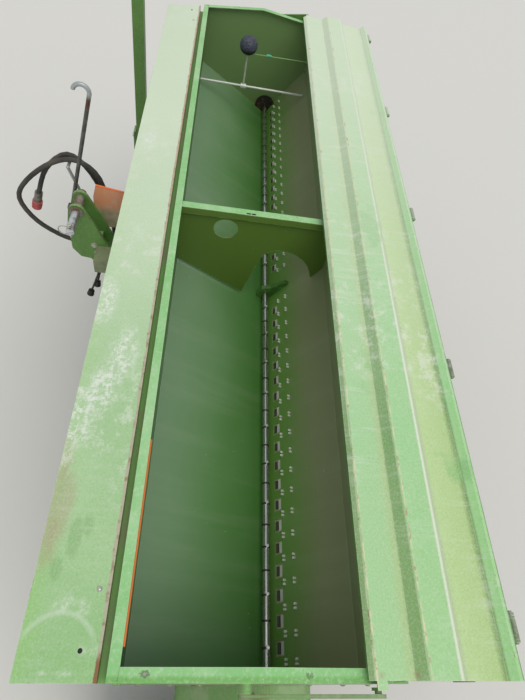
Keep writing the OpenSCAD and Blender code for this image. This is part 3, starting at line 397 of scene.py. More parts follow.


# %% [markdown]
# The front shelf is greener towards the tractor. Mud has dried into a beige line along its inner edge,
# which rusts at the near corner, and the channel behind that line is painted darker green as painted
# shade in the recess, with some grey silt. A few marks tell of use: a brown stain, a rubbed arc and thick
# chalky dabs; there are darker green spots as well. Each is a blot at a place of its own.

# %% Front shelf
GROOVE_Y, GROOVE_Z = 0.4145, 1.3585
SHELF_STAINS = [((-0.958, 0.540, 1.356), 0.052, (0.7, 1.7, 1.0)),
                ((-1.030, 0.545, 1.355), 0.030, (0.6, 1.5, 1.0)),
                ((-0.860, 0.548, 1.355), 0.026, (0.5, 1.6, 1.0))]
# Darker green spots on the shelf top.
SHELF_DARK_SPOTS = [((-1.018, 0.497, 1.361), 0.018, (0.45, 1.3, 1.0)),
                 ((-1.075, 0.520, 1.358), 0.013, (0.6, 1.0, 1.0)),
                 ((-0.997, 0.476, 1.364), 0.012, (0.5, 1.0, 1.0))]
SHELF_CHALK = [((-0.763, 0.545, 1.355), 0.050, (0.6, 1.3, 1.0)),
               ((-0.690, 0.500, 1.361), 0.034, (0.5, 1.0, 1.0)),
               ((-0.600, 0.470, 1.365), 0.040, (0.5, 1.2, 1.0)),
               ((-0.440, 0.540, 1.356), 0.046, (0.6, 1.4, 1.0)),
               ((0.240, 0.512, 1.359), 0.030, (0.6, 1.2, 1.0)),
               ((-1.139, 0.455, 1.367), 0.009, (1.0, 1.0, 1.0)),
               ((-1.134, 0.490, 1.362), 0.012, (0.8, 1.0, 1.0)),
               ((-1.203, 0.437, 1.369), 0.011, (1.3, 0.7, 1.0)),
               ((-1.236, 0.484, 1.363), 0.010, (3.2, 0.35, 1.0))]
ARC_CENTRE = (-1.212, 0.492, 1.363)


def shelf_finish():
    f = Finish("shelf_paint")
    x, y, z = f.axis("X"), f.axis("Y"), f.axis("Z")
    upward = f.step(f.axis("Z", f.facing), 0.5, 0.9)
    broad = f.step(f.noise(1.9, 3.0, 0.5), 0.34, 0.66)
    tone = f.mix(broad, srgb(152, 198, 132), srgb(176, 212, 158))
    outer = f.step(f.ragged(y, 0.03, 12.0, 4.0), 0.525, 0.575)
    tone = f.over(tone, srgb(150, 202, 118), outer, 0.65)
    tone = f.mix(f.fall(upward, 0.0, 1.0), tone, srgb(104, 156, 76))
    for place, radius, squeeze in SHELF_STAINS:
        tone = f.over(tone, srgb(176, 160, 128), f.blot(place, radius, 0.022, squeeze), 0.5)
    for place, radius, squeeze in SHELF_DARK_SPOTS:
        tone = f.over(tone, srgb(122, 172, 98), f.blot(place, radius, 0.006, squeeze), 0.45)
    tone, rough, normal = weather(f, tone, upward, dabs=0.5, wipes=0.22, mottle=0.22, pale_from=0.5,
                                  pale=0.82)
    thick = f.step(f.noise(70.0, 8.0, 0.8), 0.46, 0.58)
    for place, radius, squeeze in SHELF_CHALK:
        dab = f.times(f.blot(place, radius, 0.020, squeeze), f.plus(f.times(thick, 0.7), 0.1))
        tone = f.mix(dab, tone, srgb(236, 242, 232))
    arc = f.times(f.span(f.distance(ARC_CENTRE), 0.062, 0.070, 0.004), f.step(x, -1.20, -1.17))
    tone = f.over(tone, srgb(226, 236, 224), arc, 0.32)
    crust = f.ragged(y, 0.012, 30.0, 6.0, 0.75)
    line = f.times(f.span(crust, 0.4145, 0.4265, 0.0012), f.step(z, GROOVE_Z, GROOVE_Z + 0.003))
    rusty_end = f.fall(f.ragged(x, 0.03, 20.0), -1.215, -1.185)
    far_pink = f.step(x, -0.5, 0.3)
    crust_tone = f.mix(far_pink, srgb(190, 180, 160), srgb(198, 168, 142))
    crust_tone = f.mix(f.step(f.noise(48.0, 5.0, 0.7), 0.5, 0.62), crust_tone, srgb(158, 134, 108))
    crust_tone = f.mix(rusty_end, crust_tone, srgb(142, 82, 54))
    tone = f.over(tone, crust_tone, line, 0.9)
    # Painted shade: the channel between shelf and rim is coloured darker green, partly greyed by silt.
    groove_shade_and_silt = f.times(f.fall(y, GROOVE_Y, GROOVE_Y + 0.002), f.fall(z, GROOVE_Z, GROOVE_Z + 0.004))
    silted = f.step(f.noise(9.0, 6.0, 0.7), 0.45, 0.7)
    tone = f.mix(groove_shade_and_silt, tone, f.mix(silted, srgb(122, 170, 90), srgb(140, 146, 104)))
    return f.done(tone, rough, normal)


dress(shelf_finish(), "front_shelf")
print("shelf marks:", len(SHELF_STAINS) + len(SHELF_DARK_SPOTS) + len(SHELF_CHALK))

# %% [markdown]
# The outer leaf of the lid is pressed into long panels, and each has weathered its own way: the raised
# ones stay green under a white mottle, the hollow beside the roll has turned yellow-green, and the folds
# are rubbed pale or down to a pink rust. The folds lie at known distances from the hinge, so one ramp of
# colours across the leaf paints them all. The same ramp also paints light and shade: a dark line of
# painted shadow in the gap at the roll, a painted shade line beside the roll, painted shade on the slopes
# that face away from the sun, and a paler painted light on the slope that faces it.

# %% Lid leaves
LEAF_HINGE_Y = -0.342
LEAF_RAMP_START, LEAF_RAMP_LENGTH = -0.010, 0.320
# The stops hold paint colours and painted light: painted shadow from -0.010 to 0.0105, a painted shade line
# at 0.0345 to 0.039, painted shade on the slopes at 0.197 to 0.213 and 0.2885 to 0.310, and painted light
# on the slope at 0.117 to 0.130.
LEAF_TONES_AND_SHADES = [(-0.010, (40, 66, 30)), (0.0105, (40, 66, 30)), (0.0125, (150, 220, 138)),
              (0.031, (168, 232, 154)), (0.0345, (104, 148, 74)), (0.039, (112, 152, 72)),
              (0.049, (178, 208, 134)), (0.110, (190, 220, 150)), (0.117, (190, 208, 164)),
              (0.130, (200, 218, 182)), (0.1325, (236, 240, 226)), (0.136, (236, 240, 226)),
              (0.139, (158, 214, 146)), (0.190, (160, 216, 148)), (0.197, (118, 166, 90)),
              (0.213, (122, 170, 94)), (0.218, (176, 204, 140)), (0.236, (166, 214, 152)),
              (0.2850, (164, 216, 154)), (0.2885, (126, 168, 100)), (0.310, (124, 168, 96))]
FOLDS_WORN, WEAR_WIDTH = (0.2865, 0.1915), 0.00364
END_RUST = [(-1.2375, -0.064, 1.415), (-1.2373, -0.130, 1.415), (-1.2367, -0.295, 1.415)]


def leaf_finish(name):
    f = Finish(name)
    across = f.minus(f.axis("Y"), LEAF_HINGE_Y)
    upward = f.step(f.axis("Z", f.facing), 0.2, 0.7)
    share = f.times(f.minus(across, LEAF_RAMP_START), 1.0 / LEAF_RAMP_LENGTH)
    stops = [((at - LEAF_RAMP_START) / LEAF_RAMP_LENGTH, srgb(*shade)) for at, shade in LEAF_TONES_AND_SHADES]
    tone = f.ramp(share, stops)
    broad = f.step(f.noise(1.7, 3.0, 0.55), 0.36, 0.64)
    tone = f.over(tone, srgb(190, 214, 160), broad, 0.22)
    fresh = f.step(f.noise(3.3, 4.0, 0.6), 0.60, 0.64)
    tone = f.over(tone, srgb(124, 190, 108), fresh, 0.5)
    tone = f.mix(f.fall(upward, 0.0, 1.0), tone, srgb(96, 146, 70))
    tone, rough, normal = weather(f, tone, upward, dabs=0.6, wipes=0.45, mottle=0.28, pale=0.76)
    ragged = f.ragged(across, 0.004, 34.0, 6.0, 0.75)
    pink = f.step(f.noise(34.0, 6.0, 0.7), 0.54, 0.60)
    worn_tone = f.mix(pink, srgb(228, 222, 184), srgb(190, 148, 130))
    broken = f.step(f.noise(21.0, 6.0, 0.7), 0.40, 0.60, 0.10, 0.85)
    for at in FOLDS_WORN:
        wear = f.times(f.span(ragged, at, at + WEAR_WIDTH, 0.0012), upward)
        tone = f.over(tone, worn_tone, wear, broken)
    for place in END_RUST:
        tone = f.over(tone, srgb(168, 106, 92), f.blot(place, 0.005, 0.010), 0.8)
    return f.done(tone, rough, normal)


dress(leaf_finish("lid_leaf_paint"), "lid_front_leaf", "lid_front_edge", "lid_rear_leaf")
print("lid tones:", len(LEAF_TONES_AND_SHADES))

# %% [markdown]
# Inside the hopper the paint is dark, smooth and a little shiny, because it is sheltered and rubbed. Each
# sheet has its own shift of colour from top to bottom: the front slope turns greyer and lighter towards
# the rim as a painted sheen of the sky, the rear slope browns where dust clings, the end walls stay olive.
# A slope is rubbed from top to bottom, so the faint streaks are noise squeezed along the hopper. The rims
# above are bleached like the shelf and knocked bare in places.

# %% Inside of the hopper
RIM_FROM_Z = 1.372
RIM_BLOTS = [((-1.2365, 0.337, 1.384), 0.0050), ((-1.2385, 0.062, 1.396), 0.0052),
             ((-1.2385, 0.078, 1.395), 0.0050), ((-1.2385, 0.094, 1.394), 0.0040),
             ((-1.2375, -0.030, 1.400), 0.0052)]


def trough_paint(name, low, high, low_z=0.93, high_z=1.15, haze=0.16, gloss=0.34, blots=()):
    f = Finish(name)
    x, z = f.axis("X"), f.axis("Z")
    upward = f.axis("Z", f.facing)
    streaks = f.noise(1.0, 5.0, 0.6, place=f.stretched((16.0, 1.5, 1.5)))
    height = f.ragged(z, 0.10, 3.0, 3.0, 0.5)
    tone = f.mix(f.step(height, low_z + 0.05, high_z + 0.05), low, high)
    tone = f.over(tone, srgb(178, 192, 168), f.step(streaks, 0.45, 0.75), haze)
    patches = f.step(f.noise(2.4, 4.0, 0.6), 0.45, 0.72)
    tone = f.over(tone, srgb(160, 178, 152), patches, haze * 0.8)
    specks = f.step(f.noise(88.0, 2.0, 0.5), 0.76, 0.79)
    tone = f.over(tone, srgb(198, 206, 180), specks, 0.6)
    joint = f.step(f.maths("ABSOLUTE", x), 1.2445, 1.2462)
    tone = f.over(tone, srgb(170, 196, 148), joint, 0.35)
    rim = f.times(f.step(z, RIM_FROM_Z, RIM_FROM_Z + 0.004), f.step(upward, 0.5, 0.9))
    rim_tone = f.mix(f.step(f.noise(6.0, 6.0, 0.7), 0.38, 0.66), srgb(140, 202, 128), srgb(170, 214, 158))
    near_lip = f.fall(x, -1.244, -1.237)
    rim_tone = f.mix(f.times(near_lip, 0.8), rim_tone, srgb(112, 178, 84))
    tone = f.mix(rim, tone, rim_tone)
    speckle = f.noise(140.0, 3.0, 0.7)
    tone = f.over(tone, CHALK, f.step(speckle, 0.48, 0.7), rim, 0.25)
    edge = f.times(f.edges(0.0025), f.step(f.noise(15.0, 5.0, 0.7), 0.40, 0.58))
    tone = f.over(tone, srgb(190, 216, 172), edge, 0.6)
    nicks = f.times(f.step(f.noise(21.0, 6.0, 0.76), 0.665, 0.68), rim)
    bare = f.times(nicks, 0.9)
    for place, radius in blots:
        worn = f.blot(place, radius, 0.0045, (1.0, 0.7, 1.0), 170.0)
        ring = f.times(f.span(worn, 0.10, 0.7, 0.08), 0.7)
        tone = f.mix(ring, tone, srgb(84, 96, 66))
        tone = f.over(tone, srgb(164, 150, 152), f.step(worn, 0.5, 0.9), 0.85)
    brown = f.step(f.noise(45.0), 0.42, 0.6)
    tone = f.mix(bare, tone, f.mix(brown, srgb(152, 142, 136), srgb(110, 84, 66)))
    rough = f.plus(f.times(rim, 0.18), f.step(patches, 0.0, 1.0, gloss, gloss + 0.10))
    dents = f.bump(f.noise(2.0, 2.0, 0.5), 0.004, 0.25)
    return f.done(tone, rough, f.bump(f.minus(f.times(speckle, 0.3), bare), 0.0003, 0.5, dents))


# The front slope's lighter, greyer tone towards the rim is a painted sheen of the sky.
front_slope_paint = trough_paint("front_slope_paint", srgb(82, 136, 62), srgb(126, 160, 122), haze=0.12)
front_wall_paint = trough_paint("front_wall_paint", srgb(92, 128, 76), srgb(92, 128, 76), haze=0.10)
rear_slope_paint = trough_paint("rear_slope_paint", srgb(108, 156, 68), srgb(146, 150, 114), 0.98, 1.12,
                                haze=0.10)
end_wall_paint = trough_paint("end_wall_paint", srgb(76, 110, 36), srgb(84, 122, 44), 1.0, 1.35, haze=0.02,
                              blots=RIM_BLOTS)
divider_paint = trough_paint("divider_paint", srgb(92, 120, 46), srgb(100, 130, 54), 1.0, 1.3, haze=0.03)
dress(front_slope_paint, "hopper_front_slope")
dress(front_wall_paint, "hopper_front_wall")
dress(rear_slope_paint, "hopper_rear_slope", "hopper_rear_wall")
dress(end_wall_paint, "hopper_end_left", "hopper_end_right")
dress(divider_paint, "hopper_divider")
print("rim blots:", len(RIM_BLOTS))

# %% [markdown]
# Shafts, pins and springs are bare or zinc plated steel. Brushed streaks follow the shaft's length, and
# brown stain gathers where nothing rubs.

# %% Bare metals
def bare_steel(name, shade, stain=0.3, rough_low=0.22, rough_high=0.42, along=(1.0, 30.0, 30.0), shine=1.0):
    f = Finish(name)
    brushed = f.noise(9.0, 4.0, 0.6, place=f.stretched(along))
    clouds = f.step(f.noise(22.0, 5.0, 0.66), 0.42, 0.72)
    darker = srgb(*[int(v * 0.84) for v in shade])
    tone = f.mix(f.step(brushed, 0.3, 0.7), darker, srgb(*shade))
    tone = f.over(tone, srgb(112, 84, 62), clouds, stain)
    metal = f.step(f.times(clouds, stain), 0.1, 0.6, shine, shine * 0.35)
    rough = f.plus(f.step(brushed, 0.2, 0.8, rough_low, rough_high), f.times(clouds, stain * 0.6))
    return f.done(tone, rough, f.bump(brushed, 0.0003, 0.4), metal=metal)


EVERY_WAY = (20.0, 20.0, 20.0)
shaft_steel = bare_steel("shaft_steel", (214, 214, 212), stain=0.18, rough_low=0.16, rough_high=0.32)
pin_steel = bare_steel("pin_steel", (200, 204, 206), stain=0.3, rough_low=0.26, rough_high=0.44)
zinc = bare_steel("zinc_plate", (218, 216, 206), 0.15, 0.34, 0.5, EVERY_WAY, shine=0.75)
spring_steel = bare_steel("spring_steel", (104, 98, 92), 0.55, 0.4, 0.6, EVERY_WAY, shine=0.8)
worn_steel = bare_steel("soil_worn_steel", (166, 162, 154), 0.55, 0.3, 0.55, (8.0, 8.0, 8.0), shine=0.9)
dark_steel = bare_steel("dark_steel", (84, 82, 80), 0.5, 0.4, 0.6, EVERY_WAY, shine=0.7)
dress(shaft_steel, "agitator_shaft", "metering_shaft", "marker_rod", "axle_stubs")
dress(pin_steel, "stand_left", "stand_right")
dress(spring_steel, "harrow")
dress(worn_steel, "marker_disc")

# %% [markdown]
# Some solids are one body of metal with more than one surface on the real drill: a coulter's arm is
# painted and its shoe is polished by soil, the top link pin is bright where the hook sits and brown
# beneath the plates. Where the border follows a height or a distance, one finish can hold both.

# %% Metals with a border
SHOE_PAINT_Z = 0.235
PIN_BRIGHT_X = -0.046
CURL_Z = 1.585
CURL_RUST = (0.051, 0.656, 1.580)


def coulter_finish():
    f = Finish("coulter_paint_and_steel")
    z = f.axis("Z")
    ragged = f.ragged(z, 0.09, 16.0, 5.0, 0.7)
    painted = f.step(ragged, SHOE_PAINT_Z, SHOE_PAINT_Z + 0.03)
    paint = f.mix(f.step(f.noise(9.0, 5.0, 0.65), 0.4, 0.7), PAINT_DEEP, srgb(118, 150, 88))
    steel = f.mix(f.step(f.noise(12.0, 6.0, 0.7), 0.4, 0.65), srgb(150, 146, 138), srgb(118, 84, 60))
    soil = f.times(f.step(f.noise(11.0, 7.0, 0.7), 0.48, 0.7), 0.6)
    tone = f.mix(soil, f.mix(painted, steel, paint), SOIL)
    chips = f.times(f.edges(0.003), f.step(f.noise(24.0, 5.0, 0.7), 0.45, 0.6))
    tone = f.over(tone, RUST, chips, 0.7)
    metal = f.step(f.plus(painted, soil), 0.0, 0.6, 0.85, 0.0)
    rough = f.plus(f.times(soil, 0.3), f.step(painted, 0.0, 1.0, 0.38, 0.55))
    return f.done(tone, rough, f.bump(f.noise(60.0, 5.0, 0.7), 0.0008, 0.5), metal=metal)


def link_pin_finish():
    f = Finish("link_pin_steel")
    along = f.ragged(f.axis("X"), 0.008, 60.0)
    bright = f.fall(along, PIN_BRIGHT_X, PIN_BRIGHT_X + 0.006)
    scuffs = f.step(f.noise(40.0, 5.0, 0.7), 0.42, 0.62)
    silver = f.mix(scuffs, srgb(222, 226, 228), srgb(158, 160, 160))
    brown = f.mix(scuffs, srgb(112, 92, 76), srgb(142, 138, 128))
    rough = f.step(bright, 0.0, 1.0, 0.6, 0.3)
    tone = f.mix(bright, brown, silver)
    return f.done(tone, rough, f.bump(scuffs, 0.0003, 0.5), metal=f.times(bright, 0.85))


def holder_finish():
    f = Finish("holder_steel")
    z = f.axis("Z")
    light = f.step(z, CURL_Z, CURL_Z + 0.01)
    arch = f.times(f.step(f.axis("X"), 0.075, 0.085), f.step(z, 1.20, 1.26))
    pale = f.maths("MAXIMUM", light, arch)
    dull = f.mix(f.step(f.noise(50.0, 5.0, 0.7), 0.4, 0.65), srgb(104, 106, 106), srgb(84, 78, 72))
    tone = f.mix(pale, dull, srgb(176, 182, 184))
    tone = f.over(tone, srgb(96, 62, 46), f.near(CURL_RUST, 0.010, 0.030), 0.8)
    return f.done(tone, 0.45, f.bump(f.noise(90.0, 4.0, 0.6), 0.0003, 0.4), metal=0.55)


dress(coulter_finish(), "coulters")
dress(link_pin_finish(), "top_link_pin")
dress(holder_finish(), "hose_holder")

# %% [markdown]
# Rubber looks right when it is dark grey and not black, with dust in its pores. Cast housings are black
# and rough, and the plastic of metering units has yellowed.

# %% Rubber, castings and plastics
AXLE_PLACE = (0.0, 0.200, 0.370)
TYRE_TREAD_R, TYRE_WALL_R, WALL_RING_GAP = 0.385, 0.318, 0.018


def aged_rubber(name, tone, dusty=0.35, ribs=0.0):
    f = Finish(name)
    pores = f.noise(160.0, 4.0, 0.6)
    film = f.times(f.step(f.noise(7.0, 6.0, 0.68), 0.35, 0.75), dusty)
    colour = f.mix(film, f.mix(pores, srgb(*tone), srgb(*[v + 14 for v in tone])), srgb(132, 122, 102))
    normal = f.bump(pores, 0.0006, 0.5)
    if ribs:
        rings = f.maths("SINE", f.times(f.axis("Z"), FULL_TURN / ribs))
        normal = f.bump(rings, 0.0022, 0.9, normal)
        # Painted shade: the valleys between the ribs are darkened towards black.
        colour = f.mix(f.step(rings, -0.9, -0.2, 0.5, 0.0), colour, srgb(14, 14, 14))
    return f.done(colour, f.step(pores, 0.2, 0.8, 0.6, 0.85), normal)


def tyre_finish():
    f = Finish("tyre_rubber")
    flat = f.vector("MULTIPLY", f.from_point(AXLE_PLACE), (0.0, 1.0, 1.0))
    radius = f.vector("LENGTH", flat)
    pores = f.noise(150.0, 4.0, 0.6)
    tone = f.mix(pores, srgb(34, 34, 34), srgb(52, 51, 50))
    mud = f.step(f.ragged(radius, 0.12, 9.0, 8.0, 0.75), TYRE_TREAD_R, TYRE_TREAD_R + 0.040)
    tone = f.over(tone, srgb(124, 110, 86), mud, 0.75)
    film = f.times(f.step(f.noise(6.0, 7.0, 0.7), 0.4, 0.72), 0.35)
    tone = f.mix(film, tone, srgb(126, 120, 104))
    rings = f.maths("SINE", f.times(radius, FULL_TURN / WALL_RING_GAP))
    wall = f.fall(radius, TYRE_WALL_R, TYRE_WALL_R + 0.008)
    line = f.times(f.step(rings, 0.75, 0.95), wall)
    normal = f.bump(f.plus(f.times(pores, 0.4), line), 0.0012, 0.6)
    return f.done(tone, f.step(pores, 0.2, 0.8, 0.62, 0.86), normal)


def cast_black(name, tone=(44, 42, 40)):
    f = Finish(name)
    speckle = f.noise(240.0, 3.0, 0.7)
    rusty = f.step(f.noise(34.0, 6.0, 0.7), 0.55, 0.68)
    paint = f.mix(speckle, srgb(*tone), srgb(*[v + 20 for v in tone]))
    colour = f.mix(f.times(rusty, 0.6), paint, srgb(98, 62, 42))
    return f.done(colour, f.step(speckle, 0.2, 0.8, 0.5, 0.75), f.bump(speckle, 0.0006, 0.6))


def aged_plastic(name, tone, dirty=0.35, low=0.38, high=0.5):
    f = Finish(name)
    clouds = f.noise(14.0, 5.0, 0.62)
    grime = f.times(f.step(f.noise(24.0, 7.0, 0.72), 0.48, 0.70), dirty)
    base = f.mix(clouds, srgb(*[int(v * 0.88) for v in tone]), srgb(*tone))
    colour = f.mix(grime, base, srgb(112, 98, 74))
    rough = f.plus(f.step(clouds, 0.3, 0.7, low, high), f.times(grime, 0.3))
    return f.done(colour, rough, f.bump(f.noise(120.0), 0.0003, 0.4))


tube_rubber = aged_rubber("seed_tube_rubber", (30, 30, 31), dusty=0.25, ribs=0.011)
hose_rubber = aged_rubber("hose_rubber", (40, 40, 41), dusty=0.4)
# Black for the knobs and the valve stems; on the hole and slot inlays it is painted shade.
black_and_hole_shade = aged_plastic("black_and_hole_shade", (30, 30, 32), dirty=0.2, low=0.25, high=0.35)
barrel_black = cast_black("barrel_black", tone=(34, 34, 36))
meter_plastic = aged_plastic("meter_plastic", (208, 198, 162))
lip_plastic = aged_plastic("outlet_lip_plastic", (244, 244, 232), dirty=0.14)
# Near-white beyond the pins' own colour: a painted highlight of the sky on them.
pin_plastic_and_glint = aged_plastic("outlet_pin_plastic", (254, 254, 244), dirty=0.0, low=0.2, high=0.3)
wheel_plastic = aged_plastic("metering_wheel_plastic", (58, 62, 48), dirty=0.25)
funnel_plastic = aged_plastic("funnel_plastic", (46, 46, 46), dirty=0.25)
box_enamel = aged_plastic("valve_box_enamel", (148, 158, 122), dirty=0.45)
cap_red = aged_plastic("cap_red", (190, 84, 84), dirty=0.4, low=0.45, high=0.6)
knot_mint = aged_plastic("knot_mint", (104, 206, 160), dirty=0.1, low=0.6, high=0.8)
strip_orange = aged_plastic("strip_orange", (218, 122, 50), dirty=0.12, low=0.4, high=0.5)
dress(tyre_finish(), "tyre_left", "tyre_right")
dress(tube_rubber, "seed_tubes")
dress(hose_rubber, "hose_long", "hose_short")
dress(barrel_black, "marker_barrel")
dress(meter_plastic, "metering_units")
dress(funnel_plastic, "seed_funnels")
dress(box_enamel, "hose_block")

# %% [markdown]
# The round bearings at the hopper's ends are black castings, and the clamp that steadies the shaft near
# its middle is green like the trough. They are one solid, so the distance from the middle decides the
# colour.

# %% Bearings, coupler, plate and step
COUPLER_END, CAP_FROM = (0.128, 0.868, 1.180), 0.0395
PLATE_TOP_Z, PLATE_SLANT = 1.2965, 0.149
STEP_FOLD_Z = 0.683


def bearing_finish():
    f = Finish("bearing_castings")
    middle = f.fall(f.maths("ABSOLUTE", f.axis("X")), 0.2, 0.3)
    speckle = f.noise(200.0, 3.0, 0.7)
    black = f.mix(f.step(f.noise(30.0, 6.0, 0.7), 0.5, 0.64), srgb(42, 38, 34), srgb(86, 62, 48))
    green = f.mix(f.step(f.noise(18.0, 5.0), 0.4, 0.7), srgb(66, 112, 42), srgb(98, 146, 70))
    rough = f.step(speckle, 0.2, 0.8, 0.45, 0.7)
    return f.done(f.mix(middle, black, green), rough, f.bump(speckle, 0.0005, 0.5))


def coupler_finish():
    f = Finish("coupler_and_cap")
    cap = f.step(f.distance(COUPLER_END), CAP_FROM, CAP_FROM + 0.0005)
    clouds = f.step(f.noise(44.0, 6.0, 0.72), 0.42, 0.68)
    red = f.mix(f.times(clouds, 0.55), srgb(186, 74, 76), srgb(206, 148, 138))
    steel = f.mix(clouds, srgb(150, 148, 142), srgb(112, 98, 84))
    metal = f.step(cap, 0.0, 1.0, 0.7, 0.0)
    rough = f.step(clouds, 0.0, 1.0, 0.42, 0.6)
    return f.done(f.mix(cap, steel, red), rough, f.bump(clouds, 0.0003, 0.5), metal=metal)


def plate_finish():
    f = Finish("faded_orange_plate")
    z, y = f.axis("Z"), f.axis("Y")
    clouds = f.noise(24.0, 7.0, 0.72)
    low = f.step(f.plus(z, f.times(clouds, 0.06)), 1.235, 1.275)
    tone = f.mix(low, srgb(158, 156, 124), srgb(224, 152, 112))
    tone = f.over(tone, srgb(206, 176, 156), f.step(clouds, 0.44, 0.62), 0.6)
    rose = f.times(f.fall(y, 0.57, 0.60), f.step(clouds, 0.4, 0.6))
    tone = f.over(tone, srgb(196, 128, 120), rose, 0.5)
    slant = f.minus(z, f.times(f.minus(y, 0.560), PLATE_SLANT))
    top_edge = f.maths("MAXIMUM", f.step(slant, PLATE_TOP_Z, PLATE_TOP_Z + 0.002), f.edges(0.003))
    tone = f.over(tone, srgb(236, 118, 58), top_edge, 0.9)
    return f.done(tone, 0.55, f.bump(clouds, 0.0005, 0.5))


def step_finish():
    f = Finish("worn_step_plate")
    wear = f.noise(7.0, 8.0, 0.72)
    trodden = f.step(wear, 0.44, 0.58)
    tone = f.mix(trodden, srgb(104, 144, 80), srgb(172, 138, 124))
    tone = f.mix(f.step(f.noise(30.0, 6.0, 0.75), 0.58, 0.66), tone, srgb(122, 80, 58))
    tone = f.over(tone, srgb(150, 120, 100), f.edges(0.004), 0.7)
    fold = f.fall(f.axis("Z"), STEP_FOLD_Z, STEP_FOLD_Z + 0.003)
    tone = f.over(tone, srgb(52, 58, 44), fold, 0.7)
    return f.done(tone, f.step(trodden, 0.0, 1.0, 0.5, 0.66), f.bump(wear, 0.0008, 0.5))


dress(bearing_finish(), "agitator_bearings")
dress(coupler_finish(), "hose_coupler")
dress(plate_finish(), "hose_plate")
dress(step_finish(), "loading_step")
lever_paint = green_paint("lever_paint", bleach=0.25, dust=0.3, chips=0.9, gloss=0.4, soil=0.6)
rim_paint = green_paint("wheel_rim_paint", bleach=0.3, dust=0.3, chips=0.8, gloss=0.4, soil=0.8)
dress(lever_paint, "pressure_shaft")
dress(rim_paint, "wheel_rim_left", "wheel_rim_right")

# %% [markdown]
# The level gauge is one solid with three finishes: a dull dark float, thin bright rods and a pale green
# cord. Place alone tells them apart, since the float is a ball and the cord is all that lies behind it.

# %% Level gauge
GAUGE_BALL = Vector((1.042, 0.192, 1.340))
BALL_RADIUS = 0.038
CORD_BEHIND_Y, CORD_ABOVE_Z = 0.187, 1.280
CORD_TWIST = 2400.0


def gauge_finish():
    f = Finish("level_gauge_finish")
    ball = f.near(GAUGE_BALL, BALL_RADIUS + 0.0004, BALL_RADIUS + 0.0010)
    y, z = f.axis("Y"), f.axis("Z")
    behind = f.fall(y, CORD_BEHIND_Y - 0.002, CORD_BEHIND_Y)
    above = f.step(z, CORD_ABOVE_Z, CORD_ABOVE_Z + 0.005)
    cord = f.times(behind, above, f.minus(1.0, ball))
    brushed = f.noise(60.0, 4.0, 0.6)
    steel = f.mix(brushed, srgb(204, 206, 200), srgb(232, 234, 228))
    pores = f.noise(120.0, 5.0, 0.7)
    rubber = f.mix(f.step(pores, 0.35, 0.7), srgb(52, 56, 68), srgb(92, 96, 112))
    # Painted shade: the float is darker on its lower part, below its middle.
    rubber = f.mix(f.fall(z, 1.322, 1.336), rubber, srgb(28, 30, 34))
    twist = f.maths("SINE", f.times(y, CORD_TWIST))
    cord_tone = f.mix(twist, srgb(128, 172, 104), srgb(168, 206, 140))
    tone = f.mix(cord, f.mix(ball, steel, rubber), cord_tone)
    soft = f.maths("MAXIMUM", ball, cord)
    metal = f.minus(0.25, f.times(soft, 0.25))
    rough = f.plus(f.times(soft, 0.4), f.step(brushed, 0.2, 0.8, 0.26, 0.4))
    return f.done(tone, rough, f.bump(pores, 0.0004, 0.5), metal=metal)


dress(gauge_finish(), "level_gauge")
bare_left = [name for name, node in nodes.items() if not node.data.materials[0].node_tree.nodes.get("Bump")]
print("solids without a finish of their own:", bare_left)

# %% [markdown]
# The two hydraulic hoses leave a block on the mast, hang over the curl of the holder and come back down.
# One returns to the block, the other ends in a capped coupler. The route is the same chain of points as
# in the solids, rounded by the same spline, so the smooth hose lies exactly where the faceted one does.

# %% Hoses
HOSE_D = 0.016
STEPS_A_SPAN = 4
LONG_ROUTE = [(0.100, 0.620, 1.010), (0.100, 0.628, 1.130), (0.100, 0.654, 1.290), (0.105, 0.720, 1.345),
              (0.110, 0.800, 1.320), (0.110, 0.890, 1.240), (0.110, 0.930, 1.160), (0.108, 0.890, 1.070),
              (0.104, 0.800, 1.010), (0.100, 0.700, 0.995)]
SHORT_ROUTE = [(0.130, 0.620, 1.010), (0.130, 0.640, 1.150), (0.128, 0.688, 1.290), (0.126, 0.752, 1.348),
               (0.126, 0.826, 1.284), (0.128, 0.868, 1.180)]


def between_points(route, steps):
    """A smooth line through the points of a route."""
    points = [Vector(p) for p in route]
    last = len(points) - 1
    out = []
    for i in range(last):
        a, b, c, d = points[max(i - 1, 0)], points[i], points[i + 1], points[min(i + 2, last)]
        pull, bend, swing = c - a, 2 * a - 5 * b + 4 * c - d, 3 * b - a - 3 * c + d
        for k in range(steps):
            t = k / steps
            out.append(0.5 * (2 * b + pull * t + bend * t ** 2 + swing * t ** 3))
    return out + [points[last]]


def hose_curve(name, route, finish):
    line = between_points(route, STEPS_A_SPAN)
    data = bpy.data.curves.new(name, "CURVE")
    data.dimensions = "3D"
    spline = data.splines.new("POLY")
    spline.points.add(len(line) - 1)
    for point, place in zip(spline.points, line):
        point.co = (*place, 1.0)
    data.bevel_depth = HOSE_D / 2
    data.bevel_resolution = 5
    data.use_fill_caps = True
    data.materials.append(finish)
    hose = bpy.data.objects.new(name, data)
    bpy.context.scene.collection.objects.link(hose)
    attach(hose, "drill")
    return hose, sum((b - a).length for a, b in zip(line, line[1:]))


long_hose, long_length = hose_curve("long_hose", LONG_ROUTE, hose_rubber)
short_hose, short_length = hose_curve("short_hose", SHORT_ROUTE, hose_rubber)
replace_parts(long_hose, "hose_long")
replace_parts(short_hose, "hose_short")
print("hoses:", round(long_length, 3), "m and", round(short_length, 3), "m")

# %% [markdown]
# New pieces are made from bmesh shapes. A few helpers cover nearly all of them: one turns a bmesh into a
# piece that rides on a body, the others add a plug, a bolt, a rounded block, a bent rod, a ring or a coil
# spring.

# %% Helpers for new pieces
SIDES = (-1, 1)


def edges_of(verts):
    return list({e for v in verts for e in v.link_edges})


def faces_of(verts):
    return list({f for v in verts for f in v.link_faces})


